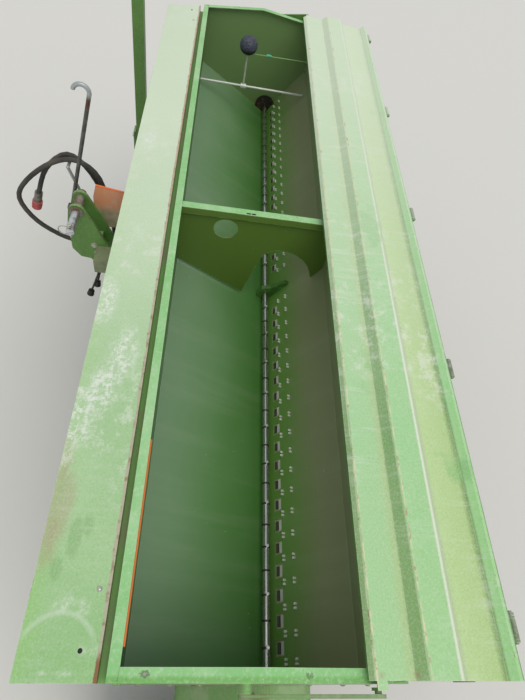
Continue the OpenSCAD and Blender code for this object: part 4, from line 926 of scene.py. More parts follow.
def verts_in(geom):
    return [g for g in geom if isinstance(g, bmesh.types.BMVert)]


def round_off(bm, geom, offset, affect="EDGES", segments=2):
    """Rounds edges or corners off. Here bevel needs to be told what the editor takes for granted."""
    return bmesh.ops.bevel(bm, geom=geom, offset=offset, affect=affect, segments=segments, profile=0.5,
                           material=-1)


def piece(name, bm, finish, body="drill", smooth=False):
    bmesh.ops.recalc_face_normals(bm, faces=bm.faces)
    if smooth:
        for face in bm.faces:
            face.smooth = True
    mesh = bpy.data.meshes.new(name)
    bm.to_mesh(mesh)
    bm.free()
    mesh.materials.append(finish)
    made = bpy.data.objects.new(name, mesh)
    bpy.context.scene.collection.objects.link(made)
    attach(made, body)
    print(name, "on", body + ":", len(mesh.polygons), "faces")
    return made


def facing_frame(at, direction):
    """A matrix whose Z points along direction, at a place."""
    turn = Vector(direction).to_track_quat("Z", "Y").to_matrix().to_4x4()
    return Matrix.Translation(Vector(at)) @ turn


def add_disc(bm, at, direction, radius, height, sides=20, bevel=0.0, top=None):
    """A round or many-sided plug that stands on a surface, its outer rim bevelled."""
    made = bmesh.ops.create_cone(bm, cap_ends=True, segments=sides, radius1=radius,
                                 radius2=radius if top is None else top, depth=height)
    verts = made["verts"]
    if bevel:
        rim = [e for e in edges_of(verts) if all(v.co.z > height * 0.49 for v in e.verts)]
        more = round_off(bm, rim, bevel)
        verts = list({v for v in verts if v.is_valid} | {v for f in more["faces"] for v in f.verts})
    place = facing_frame(at, direction) @ Matrix.Translation((0, 0, height / 2))
    bmesh.ops.transform(bm, matrix=place, verts=verts)


def add_bolt(bm, at, direction, size=0.017, washer=True):
    """A hexagon head with its washer and the end of the bolt."""
    out = Vector(direction).normalized()
    at = Vector(at)
    if washer:
        add_disc(bm, at, out, size * 0.78, size * 0.13, 20, size * 0.04)
        at = at + out * size * 0.13
    add_disc(bm, at, out, size * 0.577, size * 0.4, 6, size * 0.06)
    add_disc(bm, at + out * size * 0.4, out, size * 0.3, size * 0.1, 12, size * 0.03)


def add_dome(bm, at, direction, radius, height):
    """A rivet or coach bolt head: the upper half of a ball, flattened."""
    made = bmesh.ops.create_uvsphere(bm, u_segments=14, v_segments=8, radius=radius)
    ball = made["verts"] + edges_of(made["verts"]) + faces_of(made["verts"])
    cut = bmesh.ops.bisect_plane(bm, geom=ball, plane_co=(0, 0, 0), plane_no=(0, 0, -1), clear_outer=True)
    verts = verts_in(cut["geom"])
    bmesh.ops.scale(bm, vec=(1, 1, height / radius), verts=verts)
    bmesh.ops.transform(bm, matrix=facing_frame(at, direction), verts=verts)


def add_block(bm, low, high, bevel=0.002):
    low, high = Vector(low), Vector(high)
    verts = bmesh.ops.create_cube(bm, size=1.0)["verts"]
    bmesh.ops.scale(bm, vec=high - low, verts=verts)
    bmesh.ops.translate(bm, vec=(low + high) / 2, verts=verts)
    round_off(bm, edges_of(verts), bevel)


def add_rod(bm, places, radius, sides=10):
    """A bent rod: a ring is extruded from place to place and turned on the way."""
    places = [Vector(p) for p in places]
    ways = [(b - a).normalized() for a, b in zip(places, places[1:])]
    along = [ways[0]] + [(a + b).normalized() for a, b in zip(ways, ways[1:])] + [ways[-1]]
    ring = bmesh.ops.create_circle(bm, cap_ends=True, segments=sides, radius=radius,
                                   matrix=facing_frame(places[0], along[0]))["verts"]
    edges = edges_of(ring)
    for i in range(1, len(places)):
        made = bmesh.ops.extrude_edge_only(bm, edges=edges)["geom"]
        ring = verts_in(made)
        edges = [g for g in made if isinstance(g, bmesh.types.BMEdge)]
        turn = along[i - 1].rotation_difference(along[i]).to_matrix().to_4x4()
        carry = Matrix.Translation(places[i]) @ turn @ Matrix.Translation(-places[i - 1])
        bmesh.ops.transform(bm, matrix=carry, verts=ring)
    bmesh.ops.edgeloop_fill(bm, edges=edges)


def add_ring(bm, at, direction, radius, wire, steps=24, sides=8):
    """A closed ring of round wire."""
    turn = Matrix.Translation((radius, 0, 0)) @ Matrix.Rotation(math.pi / 2, 4, "X")
    before = set(bm.verts)
    ring = bmesh.ops.create_circle(bm, segments=sides, radius=wire / 2, matrix=turn)["verts"]
    edges = edges_of(ring)
    bmesh.ops.spin(bm, geom=ring + edges, cent=(0, 0, 0), axis=(0, 0, 1), angle=FULL_TURN, steps=steps,
                   use_merge=True)
    verts = [v for v in bm.verts if v not in before]
    bmesh.ops.transform(bm, matrix=facing_frame(at, direction), verts=verts)


def add_coil(bm, foot, top, radius, wire, turns, per_turn=10, sides=6):
    """A coil spring: a small ring of points is turned and lifted, step by step."""
    foot, top = Vector(foot), Vector(top)
    turn = Matrix.Translation((radius, 0, wire / 2)) @ Matrix.Rotation(math.pi / 2, 4, "X")
    before = set(bm.verts)
    ring = bmesh.ops.create_circle(bm, segments=sides, radius=wire / 2, matrix=turn)["verts"]
    edges = edges_of(ring)
    steps = int(turns * per_turn)
    rise = ((top - foot).length - wire) / steps
    bmesh.ops.spin(bm, geom=ring + edges, cent=(0, 0, 0), axis=(0, 0, 1), dvec=(0, 0, rise),
                   angle=FULL_TURN * turns, steps=steps, use_merge=False)
    verts = [v for v in bm.verts if v not in before]
    open_edges = list({e for v in verts for e in v.link_edges if e.is_boundary})
    bmesh.ops.holes_fill(bm, edges=open_edges, sides=sides)
    bmesh.ops.transform(bm, matrix=facing_frame(foot, top - foot), verts=verts)


# %% [markdown]
# Thirty-eight outlets sit in the rear slope. Each has a pale moulded lip round its mouth, a pale wall
# that leans in from its upper edge, and the ribbed edge of a metering wheel below it. Small white pins
# stand in pairs between neighbours, in two lines; their near-white colour is partly a painted highlight.
# They are repeated so often that each one stays simple.

# %% Outlets
HOPPER_Y, RIM_Z = 0.400, 1.380
SLOPE_FOOT = Vector((0, HOPPER_Y - 0.346, RIM_Z - 0.447))
SLOPE_TOP = Vector((0, HOPPER_Y - 0.504, RIM_Z - 0.204))
SLOPE_UP = (SLOPE_TOP - SLOPE_FOOT).normalized()
SLOPE_OUT = SLOPE_UP.cross(Vector((1, 0, 0))).normalized()
FIRST_OUTLET, OUTLET_PITCH, OUTLETS_A_SIDE = 0.1065, 0.0593, 19
OUTLET_XS = [s * (FIRST_OUTLET + OUTLET_PITCH * k) for s in SIDES for k in range(OUTLETS_A_SIDE)]
MOUTH_W, MOUTH_H, MOUTH_UP = 0.034, 0.026, 0.0533
SHEET = 0.003
LIP_OUTSIDE, LIP_WIDTH, LIP_STANDS = 0.0016, 0.0020, 0.0010
APRON_W, APRON_H, APRON_LEAN = 0.029, 0.0125, math.radians(7)
RIBS, RIB_ARC, RIB_R, RIB_HALF, RIB_ROOT = 6, math.radians(80), 0.0105, 0.0125, 0.90
RIBS_BELOW_MOUTH = 0.0060
PIN_GAP = 0.0049
PIN_LINES = (0.0745, 0.1112)


def on_slope(x, up, out=0.0):
    return Vector((x, 0, 0)) + SLOPE_FOOT + SLOPE_UP * up + SLOPE_OUT * out


def slope_frame(x, up, out=0.0):
    turn = Matrix((Vector((-1, 0, 0)), SLOPE_UP, SLOPE_OUT)).transposed().to_4x4()
    return Matrix.Translation(on_slope(x, up, out)) @ turn


def outlet_lips():
    bm = bmesh.new()
    for x in OUTLET_XS:
        verts = bmesh.ops.create_grid(bm, x_segments=1, y_segments=1, size=0.5)["verts"]
        bmesh.ops.scale(bm, vec=(MOUTH_W + LIP_OUTSIDE, MOUTH_H + LIP_OUTSIDE, 1), verts=verts)
        face = verts[0].link_faces[0]
        rim = bmesh.ops.inset_region(bm, faces=[face], thickness=LIP_WIDTH, use_even_offset=True)["faces"]
        bmesh.ops.delete(bm, geom=[face], context="FACES_ONLY")
        up = verts_in(bmesh.ops.extrude_face_region(bm, geom=rim)["geom"])
        bmesh.ops.translate(bm, vec=(0, 0, LIP_STANDS), verts=up)
        every = list({v for f in rim if f.is_valid for v in f.verts} | set(up))
        bmesh.ops.transform(bm, matrix=slope_frame(x, MOUTH_UP), verts=every)
        apron = bmesh.ops.create_grid(bm, x_segments=1, y_segments=1, size=0.5)["verts"]
        bmesh.ops.scale(bm, vec=(APRON_W, APRON_H, 1), verts=apron)
        lean = Matrix.Translation((0, MOUTH_H / 2, -0.0008)) @ Matrix.Rotation(APRON_LEAN, 4, "X")
        lean = lean @ Matrix.Translation((0, -APRON_H / 2 - 0.0006, 0))
        bmesh.ops.transform(bm, matrix=slope_frame(x, MOUTH_UP) @ lean, verts=apron)
    return piece("outlet_lips", bm, lip_plastic)


def outlet_wheels():
    bm = bmesh.new()
    steps = RIBS * 2
    low, deep = RIB_R * math.sin(-RIB_ARC / 2), RIB_R * math.cos(RIB_ARC / 2)
    for x in OUTLET_XS:
        centre = slope_frame(x, MOUTH_UP - RIBS_BELOW_MOUTH, -SHEET - deep + 0.0002)
        before = set(bm.verts)
        start = [bm.verts.new((s * RIB_HALF, low, deep)) for s in SIDES]
        edge = bm.edges.new(start)
        bmesh.ops.spin(bm, geom=start + [edge], cent=(0, 0, 0), axis=(-1, 0, 0), angle=RIB_ARC, steps=steps,
                       use_merge=False)
        verts = [v for v in bm.verts if v not in before]
        for v in verts:
            turn = math.atan2(v.co.y, v.co.z) + RIB_ARC / 2
            if round(turn / (RIB_ARC / steps)) % 2:
                v.co.yz = v.co.yz * RIB_ROOT
        bmesh.ops.transform(bm, matrix=centre, verts=verts)
    return piece("outlet_wheels", bm, wheel_plastic)


def outlet_screws():
    bm = bmesh.new()
    for side in SIDES:
        for k in range(OUTLETS_A_SIDE + 1):
            x = side * (FIRST_OUTLET + OUTLET_PITCH * (k - 0.5))
            for up in PIN_LINES:
                for s in SIDES:
                    add_disc(bm, on_slope(x + s * PIN_GAP, up), SLOPE_OUT, 0.0035, 0.0064, 8, 0.0009)
    return piece("outlet_screws", bm, pin_plastic_and_glint)


outlet_lips()
outlet_wheels()
outlet_screws()

# %% [markdown]
# The partition is a sheet under a square bar, with an arch over the shaft and a round hole. Its solid has
# an arch of straight runs, so a smooth sheet stands for it here. The outline starts as one face whose
# corners are rounded, each as far as its neighbours allow. Then it is filled round the hole and given its
# thickness.

# %% Partition
PARTITION_X, BAR = -0.063, 0.025
BAR_FROM_Y, BAR_TO_Y = HOPPER_Y - 0.504, HOPPER_Y - 0.012
HOLE_AT, HOLE_R = (-0.158, -0.080), 0.038
PARTITION_CORNERS = [(-0.504, -0.028, 0.0), (-0.012, -0.028, 0.0), (-0.012, -0.232, 0.0),
                     (-0.245, -0.3653, 0.004), (-0.277, -0.225, 0.030), (-0.296, -0.159, 0.029),
                     (-0.352, -0.138, 0.029), (-0.426, -0.165, 0.040), (-0.460, -0.218, 0.020),
                     (-0.472, -0.2522, 0.002), (-0.504, -0.201, 0.0)]


def partition():
    bm = bmesh.new()
    ring = [bm.verts.new((0, HOPPER_Y + y, RIM_Z + z)) for y, z, _ in PARTITION_CORNERS]
    bm.faces.new(ring)
    for corner, (_, _, rounding) in zip(ring, PARTITION_CORNERS):
        if rounding:
            round_off(bm, [corner], rounding, "VERTICES", 7)
    bmesh.ops.delete(bm, geom=list(bm.faces), context="FACES_ONLY")
    centre = Matrix.Translation((0, HOPPER_Y + HOLE_AT[0], RIM_Z + HOLE_AT[1]))
    bmesh.ops.create_circle(bm, cap_ends=False, segments=40, radius=HOLE_R,
                            matrix=centre @ Matrix.Rotation(math.pi / 2, 4, "Y"))
    bmesh.ops.triangle_fill(bm, use_beauty=True, use_dissolve=False, edges=list(bm.edges))
    far = verts_in(bmesh.ops.extrude_face_region(bm, geom=list(bm.faces))["geom"])
    bmesh.ops.translate(bm, vec=(SHEET, 0, 0), verts=far)
    bmesh.ops.translate(bm, vec=(PARTITION_X - SHEET / 2, 0, 0), verts=list(bm.verts))
    bar_low = (PARTITION_X - BAR / 2, BAR_FROM_Y, RIM_Z - SHEET - BAR)
    bar_high = (PARTITION_X + BAR / 2, BAR_TO_Y, RIM_Z - SHEET)
    add_block(bm, bar_low, bar_high, 0.0015)
    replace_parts(piece("partition", bm, divider_paint), "hopper_divider")


partition()

# %% [markdown]
# The agitator shaft turns in the trough. Its cross pins are riveted through dark collars, which stripe
# the bright shaft. They ride on the shaft's own body, so they turn with it.

# %% Shaft collars
AGITATOR_Y, AGITATOR_Z, AGITATOR_R = 0.060, 0.976, 0.010


def shaft_collars():
    bm = bmesh.new()
    for x in OUTLET_XS:
        at = (x - 0.0025, AGITATOR_Y, AGITATOR_Z)
        add_disc(bm, at, (1, 0, 0), AGITATOR_R + 0.0009, 0.005, 16, 0.0006)
    return piece("shaft_collars", bm, dark_steel, "agitator")


shaft_collars()

# %% [markdown]
# Small things catch the eye on plain sheets: an orange strip under the rim's inner edge, a coach bolt and
# a drilled hole in the shelf, punched slots in the partition's tube, and the knot of the gauge's cord. The
# hole and the slots are dark inlays whose colour is painted shade inside the openings.

# %% Strip, bolt, hole, slots and knot
STRIP_LOW, STRIP_HIGH = (-1.198, 0.3762, 1.3735), (-0.818, 0.3802, 1.3795)
SHELF_DROP, SHELF_DEPTH = 0.019, 0.1405
SHELF_TILT = Vector((0, SHELF_DROP, SHELF_DEPTH)).normalized()
SHELF_BOLT_AT, SHELF_HOLE_AT = (1.108, 0.4348), (1.204, 0.4503)
SLOTS_AT = ((-0.070, 0.1800, 1.3772), (-0.070, 0.1645, 1.3772))
KNOT_AT = Vector((1.048, 0.098, 1.3083))


def rim_strip():
    bm = bmesh.new()
    add_block(bm, STRIP_LOW, STRIP_HIGH, 0.0008)
    return piece("rim_strip", bm, strip_orange)


def on_shelf(x, y, sunk):
    """A place on the shelf's tilted top, sunk a little into the sheet."""
    return Vector((x, y, 1.3725 - (y - 0.415) * SHELF_DROP / SHELF_DEPTH - sunk))


def shelf_bolts():
    bm = bmesh.new()
    x, y = SHELF_BOLT_AT
    for side in SIDES:
        add_dome(bm, on_shelf(side * x, y, 0.0002), SHELF_TILT, 0.0052, 0.0040)
    return piece("shelf_bolts", bm, zinc, smooth=True)


def dark_openings():
    """Thin dark inlays with a raised lip stand for a drilled hole and punched slots; their dark colour is
    painted shade inside the openings.
    """
    bm = bmesh.new()
    x, y = SHELF_HOLE_AT
    for side in SIDES:
        add_disc(bm, on_shelf(side * x, y, 0.0003), SHELF_TILT, 0.0042, 0.0008, 16, 0.0003)
    for at in SLOTS_AT:
        made = bmesh.ops.create_cone(bm, cap_ends=True, segments=18, radius1=0.0032, radius2=0.0026,
                                     depth=0.0008)
        for v in made["verts"]:
            v.co.y += math.copysign(0.004, v.co.y)
        bmesh.ops.translate(bm, vec=at, verts=made["verts"])
    return piece("dark_openings", bm, black_and_hole_shade)


def cord_knot():
    bm = bmesh.new()
    for dy, radius in ((-0.0065, 0.0062), (0.0055, 0.0070)):
        made = bmesh.ops.create_icosphere(bm, subdivisions=2, radius=radius)
        bmesh.ops.scale(bm, vec=(0.9, 1.1, 0.9), verts=made["verts"])
        bmesh.ops.translate(bm, vec=KNOT_AT + Vector((0, dy, 0)), verts=made["verts"])
    add_ring(bm, KNOT_AT, (0, 1, 0), 0.0048, 0.0034, 12, 6)
    return piece("cord_knot", bm, knot_mint, smooth=True)


rim_strip()
shelf_bolts()
dark_openings()
cord_knot()

# %% [markdown]
# On the hitch side each hose leaves its block through a crimped ferrule with a hexagon, and a ribbed cap
# closes the coupler. Two knobs on thin stems hang from the small box on the other side of the mast. The
# three hitch pins carry linch pins: a short peg through the pin with a sprung ring over it.

# %% Hose fittings, knobs and linch pins
HEXAGON_H = 0.012
CRIMPS, CRIMP_GAP = 4, 0.006
CAP_WAY = Vector((1, 10, -34)).normalized()
KNOBS = [((-0.080, 0.640, 1.080), (-0.100, 0.651, 1.021)), ((-0.096, 0.644, 1.080), (-0.120, 0.671, 0.993))]
STEMS = [((-0.080, 0.640, 1.085), (-0.082, 0.641, 1.060), (-0.100, 0.651, 1.021)),
         ((-0.096, 0.644, 1.085), (-0.099, 0.646, 1.060), (-0.120, 0.671, 0.993))]
HITCH_PINS = [((-0.545, 0.680, 0.570), 0.0142), ((0.545, 0.680, 0.570), 0.0142),
              ((-0.120, 0.703, 1.266), 0.0127)]


def hose_ferrules():
    bm = bmesh.new()
    for at, toward in (LONG_ROUTE[:2], LONG_ROUTE[:-3:-1], SHORT_ROUTE[:2]):
        at, way = Vector(at), (Vector(toward) - Vector(at)).normalized()
        add_disc(bm, at, way, 0.0135, HEXAGON_H, 6, 0.001)
        add_disc(bm, at + way * HEXAGON_H, way, 0.0108, 0.026, 18, 0.001)
        for k in range(CRIMPS):
            add_ring(bm, at + way * (HEXAGON_H + 0.004 + CRIMP_GAP * k), way, 0.0106, 0.0022, 18, 6)
    return piece("hose_ferrules", bm, zinc)


def cap_ring():
    bm = bmesh.new()
    end = Vector(SHORT_ROUTE[-1])
    for k in range(3):
        add_ring(bm, end + CAP_WAY * (0.044 + 0.008 * k), CAP_WAY, 0.0158, 0.0024, 24, 6)
    add_disc(bm, end + CAP_WAY * 0.0695, CAP_WAY, 0.0135, 0.003, 20, 0.0012)
    return piece("cap_ring", bm, cap_red)


def box_knobs():
    bm = bmesh.new()
    for top, low in KNOBS:
        way = (Vector(low) - Vector(top)).normalized()
        add_disc(bm, Vector(low) - way * 0.004, way, 0.010, 0.020, 16, 0.004, top=0.013)
    return piece("box_knobs", bm, black_and_hole_shade)


def knob_stems():
    bm = bmesh.new()
    for stem in STEMS:
        add_rod(bm, stem, 0.0032, 8)
    return piece("knob_stems", bm, dark_steel)


def linch_pins():
    bm = bmesh.new()
    for at, radius in HITCH_PINS:
        at = Vector(at)
        peg_foot, peg_head = Vector((0, 0, -radius - 0.012)), Vector((0, 0, radius + 0.004))
        add_disc(bm, at + peg_foot, (0, 0, 1), 0.0040, 2 * radius + 0.022, 12, 0.001)
        add_disc(bm, at + peg_head, (0, 0, 1), 0.0075, 0.009, 14, 0.002)
        add_ring(bm, at + Vector((0, 0.0175, 0)), (1, 0, 0.12), radius + 0.0055, 0.0034, 26, 6)
    return piece("linch_pins", bm, zinc)


hose_ferrules()
cap_ring()
box_knobs()
knob_stems()
linch_pins()

# %% [markdown]
# Each wheel has six nuts on its disc and a valve stem in one of the hand holes' gaps, and turns on a stub
# that ends in a castle nut with a grease cap. The nuts ride on the wheel, the cap stays on the axle.

# %% Wheel nuts, valves and axle caps
_, AXLE_Y, AXLE_Z = AXLE_PLACE
DISC_FACE_X = 1.388
AXLE_END_X = 1.438
NUT_CIRCLE, WHEEL_NUTS = 0.080, 6
VALVE_ANGLE = math.radians(65)


def around_axle(side, angle, radius, x):
    return Vector((side * x, AXLE_Y + radius * math.cos(angle), AXLE_Z + radius * math.sin(angle)))


def wheel_nuts(side, name, body):
    bm = bmesh.new()
    for k in range(WHEEL_NUTS):
        angle = math.radians(30) + FULL_TURN * k / WHEEL_NUTS
        at = around_axle(side, angle, NUT_CIRCLE, DISC_FACE_X - 0.0002)
        add_bolt(bm, at, (side, 0, 0), 0.024)
    return piece(name, bm, zinc, body)


def wheel_valve(side, name, body):
    bm = bmesh.new()
    foot = around_axle(side, VALVE_ANGLE, 0.186, 1.345)
    tip = around_axle(side, VALVE_ANGLE, 0.176, 1.385)
    add_rod(bm, [foot, (foot + tip) / 2, tip], 0.0042, 10)
    add_disc(bm, tip, tip - foot, 0.0052, 0.010, 12, 0.001)
    return piece(name, bm, black_and_hole_shade, body)


def axle_caps():
    bm = bmesh.new()
    for side in SIDES:
        at = Vector((side * AXLE_END_X, AXLE_Y, AXLE_Z))
        add_disc(bm, at, (side, 0, 0), 0.019, 0.010, 6, 0.0015)
        add_dome(bm, at + Vector((side * 0.0098, 0, 0)), (side, 0, 0), 0.012, 0.008)
    return piece("axle_caps", bm, zinc)


for side, word in ((-1, "left"), (1, "right")):
    wheel_nuts(side, "wheel_nuts_" + word, "wheel_" + word)
    wheel_valve(side, "wheel_valve_" + word, "wheel_" + word)
axle_caps()

# %% [markdown]
# Each coulter is pressed down by a coil spring on a guide rod, between the lever of the pressure shaft
# and the coulter's arm. The solids hold a plain rod with a thick middle, so real coils take their place
# here. A coil is a small ring of points, turned and lifted at every step, which is what a spin with a
# rise does.

# %% Coulter springs
ROWS, ROW_PITCH = 20, 0.125
ROW_XS = [(i - (ROWS - 1) / 2) * ROW_PITCH for i in range(ROWS)]
SPRING_TOPS = [(0.13837, 0.72891), (0.13716, 0.72938), (0.13629, 0.72996)]
SPRING_FEET = [(0.05625, 0.42133), (-0.01714, 0.42447), (-0.09264, 0.42529)]
RANKS = len(SPRING_TOPS)
COIL_HIGH, COIL_LOW = 0.45, 0.88


def spring_line(i):
    """The top and the foot of a row's spring, and where its coil ends between them."""
    x = ROW_XS[i]
    top, foot = Vector((x, *SPRING_TOPS[i % RANKS])), Vector((x, *SPRING_FEET[i % RANKS]))
    return top, top.lerp(foot, COIL_HIGH), top.lerp(foot, COIL_LOW), foot


def coulter_coils():
    bm = bmesh.new()
    for i in range(ROWS):
        _, high, low, _ = spring_line(i)
        add_coil(bm, low, high, 0.0105, 0.0048, 11, 9, 5)
    return piece("coulter_coils", bm, spring_steel, smooth=True)


def spring_rods():
    bm = bmesh.new()
    for i in range(ROWS):
        top, high, low, foot = spring_line(i)
        way = (foot - top).normalized()
        add_disc(bm, top, way, 0.0040, (foot - top).length, 10)
        add_disc(bm, high - way * 0.003, way, 0.0130, 0.003, 14, 0.0006)
        add_disc(bm, high - way * 0.011, way, 0.0075, 0.008, 6, 0.0008)
        add_disc(bm, low, way, 0.0130, 0.003, 14, 0.0006)
        add_disc(bm, foot - way * 0.012, way, 0.0068, 0.012, 8, 0.001)
        add_disc(bm, top, way, 0.0068, 0.014, 8, 0.001)
    return piece("spring_rods", bm, zinc)


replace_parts(spring_rods(), "coulter_springs")
coulter_coils()

# %% [markdown]
# The harrow's tines are wound from round wire: a few turns below each clamp, then a long leg. The turns
# lie on the solid core, each clamp is closed by two bolts, and the tube ends get worm-drive clips.

# %% Harrow coils, tube clips and row nuts
HARROW_Y, HARROW_Z, HARROW_BEAM = -0.640, 0.620, 0.050
COIL_DROP = 0.023
COIL_Z = HARROW_Z - HARROW_BEAM / 2 - COIL_DROP
RANK_YS = (-0.140, -0.330, -0.520)
METER_Y, FUNNEL_BOTTOM = -0.00836, 0.84953
SPOUT_BACK, SPOUT_Z = 0.045, 0.330
ARM_PIVOT_Y, ARM_PIVOT_Z = 0.1987, 0.520
RAIL_FACE_Y = 0.2955
TINE_COIL_HALF = 0.0205
CLIP_R, CLIP_H = 0.0182, 0.010


def outlet_of_row(i):
    x = ROW_XS[i]
    return math.copysign(FIRST_OUTLET + OUTLET_PITCH * 2 * math.floor(abs(x) / ROW_PITCH), x)


def harrow_coils():
    bm = bmesh.new()
    for x in ROW_XS:
        foot, top = (x - TINE_COIL_HALF, HARROW_Y, COIL_Z), (x + TINE_COIL_HALF, HARROW_Y, COIL_Z)
        add_coil(bm, foot, top, 0.0205, 0.0098, 3.5, 12, 6)
    return piece("harrow_coils", bm, spring_steel, smooth=True)


def harrow_bolts():
    bm = bmesh.new()
    for x in ROW_XS:
        for s in SIDES:
            add_bolt(bm, (x, HARROW_Y + s * 0.018, HARROW_Z + 0.031), (0, 0, 1), 0.013)
    return piece("harrow_bolts", bm, zinc)


def tube_clips():
    bm = bmesh.new()
    for i, x in enumerate(ROW_XS):
        top = Vector((outlet_of_row(i), METER_Y, FUNNEL_BOTTOM - 0.016))
        low = Vector((x, RANK_YS[i % RANKS] - SPOUT_BACK, SPOUT_Z + 0.020))
        for at in (top, low):
            made = bmesh.ops.create_cone(bm, cap_ends=False, segments=18, radius1=CLIP_R, radius2=CLIP_R,
                                         depth=CLIP_H)
            faces = faces_of(made["verts"])
            bmesh.ops.translate(bm, vec=at, verts=made["verts"])
            bmesh.ops.solidify(bm, geom=faces, thickness=0.0011)
            add_disc(bm, at + Vector((0, -0.024, 0)), (0, 1, 0), 0.0045, 0.009, 8, 0.0008)
    return piece("tube_clips", bm, zinc)


def row_nuts():
    bm = bmesh.new()
    for x in ROW_XS:
        for s in SIDES:
            add_bolt(bm, (x + s * 0.0322, ARM_PIVOT_Y, ARM_PIVOT_Z), (s, 0, 0), 0.016, washer=False)
            add_bolt(bm, (x, RAIL_FACE_Y, ARM_PIVOT_Z + s * 0.0198), (0, 1, 0), 0.014)
    return piece("row_nuts", bm, zinc)


harrow_coils()
harrow_bolts()
tube_clips()
row_nuts()

# %% [markdown]
# The hopper's end walls lap over the sheets with a line of rivets, the main beam and the shafts are
# bolted through the side plates, and the covers of the drive carry small hexagon heads. Rows of
# fastenings follow the edges they hold, so they are spaced along a few corner points.

# %% Rivets and bolts
END_FACE_X, GUARD_FACE_X, PLATE_FACE_X = 1.250, 1.296, 1.232
LAP = [(0.391, 1.340), (0.391, 1.135), (0.056, 0.929), (-0.107, 1.175), (-0.107, 1.340)]
BEAM_Y, BEAM_Z, BEAM_BOLT_OFF = 0.385, 0.610, 0.033
FLANGE_Y, FLANGE_Z, FLANGE_BOLTS, FLANGE_BOLT_R = 0.060, 0.700, 3, 0.030
GUARD_LINE = [(0.085, 0.992), (0.262, 0.815), (0.233, 0.370)]
GEARBOX_FACE_X, GEARBOX_CORNERS = -1.080, [(0.182, 0.762), (0.268, 0.762), (0.182, 0.838), (0.268, 0.838)]
MAST_FACE_X, MAST_BOLTS = 0.037, [(0.478, 0.585), (0.478, 0.640), (0.655, 1.098), (0.662, 1.132)]
LOWER_HITCH_X, LOWER_HITCH_FACE_Y = 0.435, 0.442
SADDLE_X, SADDLE_BOLT_Z = 0.5, 0.690


def spaced(corners, gap):
    """Places along a line of corners, about one gap apart."""
    places = []
    for a, b in zip(corners, corners[1:]):
        a, b = Vector(a), Vector(b)
        count = max(1, round((b - a).length / gap))
        places += [a.lerp(b, (k + 0.5) / count) for k in range(count)]
    return places


def end_rivets():
    bm = bmesh.new()
    for side in SIDES:
        for y, z in spaced(LAP, 0.085):
            add_dome(bm, (side * (END_FACE_X - 0.0003), y, z), (side, 0, 0), 0.0060, 0.0034)
    return piece("end_rivets", bm, frame_paint, smooth=True)


def plate_bolts():
    bm = bmesh.new()
    for side in SIDES:
        out = (side, 0, 0)
        for front in SIDES:
            for up in SIDES:
                y, z = BEAM_Y + front * BEAM_BOLT_OFF, BEAM_Z + up * BEAM_BOLT_OFF
                add_bolt(bm, (side * PLATE_FACE_X, y, z), out, 0.019)
        add_disc(bm, (side * (PLATE_FACE_X - 0.0005), FLANGE_Y, FLANGE_Z), out, 0.042, 0.009, 28, 0.002)
        for k in range(FLANGE_BOLTS):
            turn = math.radians(90) + FULL_TURN * k / FLANGE_BOLTS
            y, z = FLANGE_Y + FLANGE_BOLT_R * math.cos(turn), FLANGE_Z + FLANGE_BOLT_R * math.sin(turn)
            add_bolt(bm, (side * (PLATE_FACE_X + 0.0085), y, z), out, 0.012)
    return piece("plate_bolts", bm, zinc)


def drive_bolts():
    bm = bmesh.new()
    for y, z in spaced(GUARD_LINE, 0.105):
        add_bolt(bm, (-GUARD_FACE_X, y, z), (-1, 0, 0), 0.012)
    for y, z in GEARBOX_CORNERS:
        add_bolt(bm, (GEARBOX_FACE_X, y, z), (1, 0, 0), 0.011)
    for side in SIDES:
        for y, z in MAST_BOLTS:
            add_bolt(bm, (side * MAST_FACE_X, y, z), (side, 0, 0), 0.013)
    return piece("drive_bolts", bm, zinc)


def hitch_bolts():
    bm = bmesh.new()
    for side in SIDES:
        for s in SIDES:
            for z in (0.585, 0.635):
                at = (side * LOWER_HITCH_X + s * 0.018, LOWER_HITCH_FACE_Y, z)
                add_bolt(bm, at, (0, 1, 0), 0.015)
            for y in (0.350, 0.400):
                add_bolt(bm, (side * SADDLE_X + s * 0.004, y, SADDLE_BOLT_Z), (s, 0, 0), 0.014)
    return piece("hitch_bolts", bm, zinc)


end_rivets()
plate_bolts()
drive_bolts()
hitch_bolts()

# %% [markdown]
# The parking stands are held by pins with a ring handle, the marker's pivots end in washers, its cylinder
# has a gland and a hose port, and the disc is bolted to its hub. Each piece rides on what it is fastened
# to.

# %% Stand pins and marker fittings
STAND_X, STAND_FRONT_Y = 0.560, 0.490
MARKER = Vector((1.200, 0.680, 0.720))
MARKER_TOP_Z = 2.140
CYLINDER_BASE, CYLINDER_WAY = Vector((1.060, 0.610, 0.640)), Vector((0.587433, 0, 0.809273))
DISC_BOLTS, DISC_BOLT_R = 5, 0.045


def stand_pins():
    bm = bmesh.new()
    for side in SIDES:
        at = Vector((side * STAND_X, STAND_FRONT_Y, 0.665))
        add_disc(bm, at, (0, 1, 0), 0.0085, 0.014, 14, 0.001)
        add_ring(bm, at + Vector((0, 0.012, -0.020)), (0, 1, 0.15), 0.018, 0.0042, 24, 6)
    return piece("stand_pins", bm, zinc)


def marker_washers():
    bm = bmesh.new()
    front = MARKER + Vector((0, 0.043, 0))
    add_disc(bm, front - Vector((0, 0.0026, 0)), (0, 1, 0), 0.020, 0.0026, 24, 0.0006)
    add_disc(bm, front, (0, 1, 0), 0.0105, 0.006, 6, 0.0012)
    eye = CYLINDER_BASE + Vector((0, -0.0182, 0))
    add_disc(bm, eye, (0, -1, 0), 0.0075, 0.004, 12, 0.001)
    return piece("marker_washers", bm, zinc)


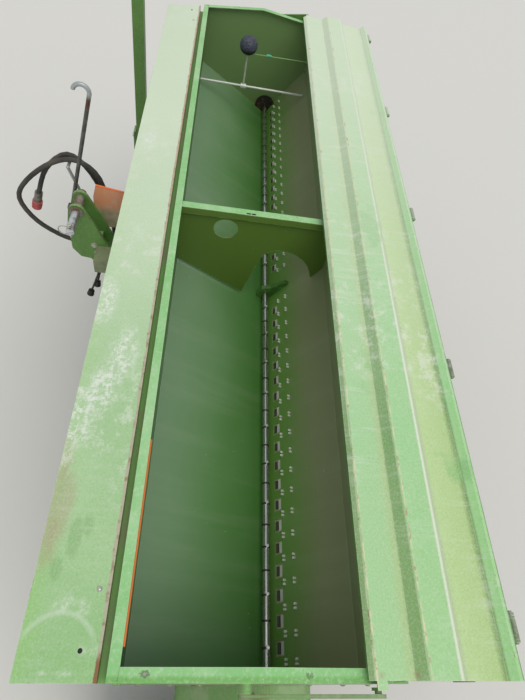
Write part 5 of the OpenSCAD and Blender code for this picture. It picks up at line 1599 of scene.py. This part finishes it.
def barrel_fittings():
    bm = bmesh.new()
    way = CYLINDER_WAY
    add_ring(bm, CYLINDER_BASE + way * 0.1215, way, 0.0175, 0.006, 28, 8)
    add_ring(bm, CYLINDER_BASE + way * 0.020, way, 0.0180, 0.004, 28, 8)
    side = way.cross(Vector((0, 1, 0))).normalized()
    port = CYLINDER_BASE + way * 0.040 + side * 0.017
    add_disc(bm, port, side, 0.0070, 0.008, 14, 0.001)
    add_disc(bm, port + side * 0.008, side, 0.0088, 0.010, 6, 0.001)
    return piece("barrel_fittings", bm, dark_steel, "barrel")


def disc_bolts():
    bm = bmesh.new()
    for k in range(DISC_BOLTS):
        turn = FULL_TURN * k / DISC_BOLTS
        x, y = MARKER.x + DISC_BOLT_R * math.cos(turn), MARKER.y + DISC_BOLT_R * math.sin(turn)
        add_bolt(bm, (x, y, MARKER_TOP_Z + 0.0008), (0, 0, 1), 0.012)
    return piece("disc_bolts", bm, zinc, "disc")


stand_pins()
marker_washers()
barrel_fittings()
disc_bolts()

# %% [markdown]
# Behind the hopper every metering unit has a round cap over its shaft and a small shutter lever below,
# set at slightly different notches. From the back of the drill they are the busiest row of all.

# %% Metering caps and shutter levers
METER_Z = 0.95553
CAP_FACE_X = 0.0248
NOTCH = 0.003
UNIT_BACK_Y = METER_Y - 0.030


def meter_caps():
    bm = bmesh.new()
    for x in OUTLET_XS:
        for s in SIDES:
            add_ring(bm, (x + s * CAP_FACE_X, METER_Y, METER_Z), (1, 0, 0), 0.0235, 0.0036, 20, 5)
    return piece("meter_caps", bm, wheel_plastic)


def shutter_levers():
    bm = bmesh.new()
    for k, x in enumerate(OUTLET_XS):
        drop = NOTCH * ((k * 7) % 3)
        foot = Vector((x, UNIT_BACK_Y + 0.012, METER_Z - 0.026))
        knee = foot + Vector((0, -0.022, -0.004 - drop))
        tip = knee + Vector((0, -0.010, -0.016))
        add_rod(bm, [foot, knee, tip], 0.0028, 6)
        add_disc(bm, tip - Vector((0, 0, 0.002)), (0, -0.4, -1), 0.0058, 0.009, 8, 0.001)
    return piece("shutter_levers", bm, funnel_plastic)


meter_caps()
shutter_levers()
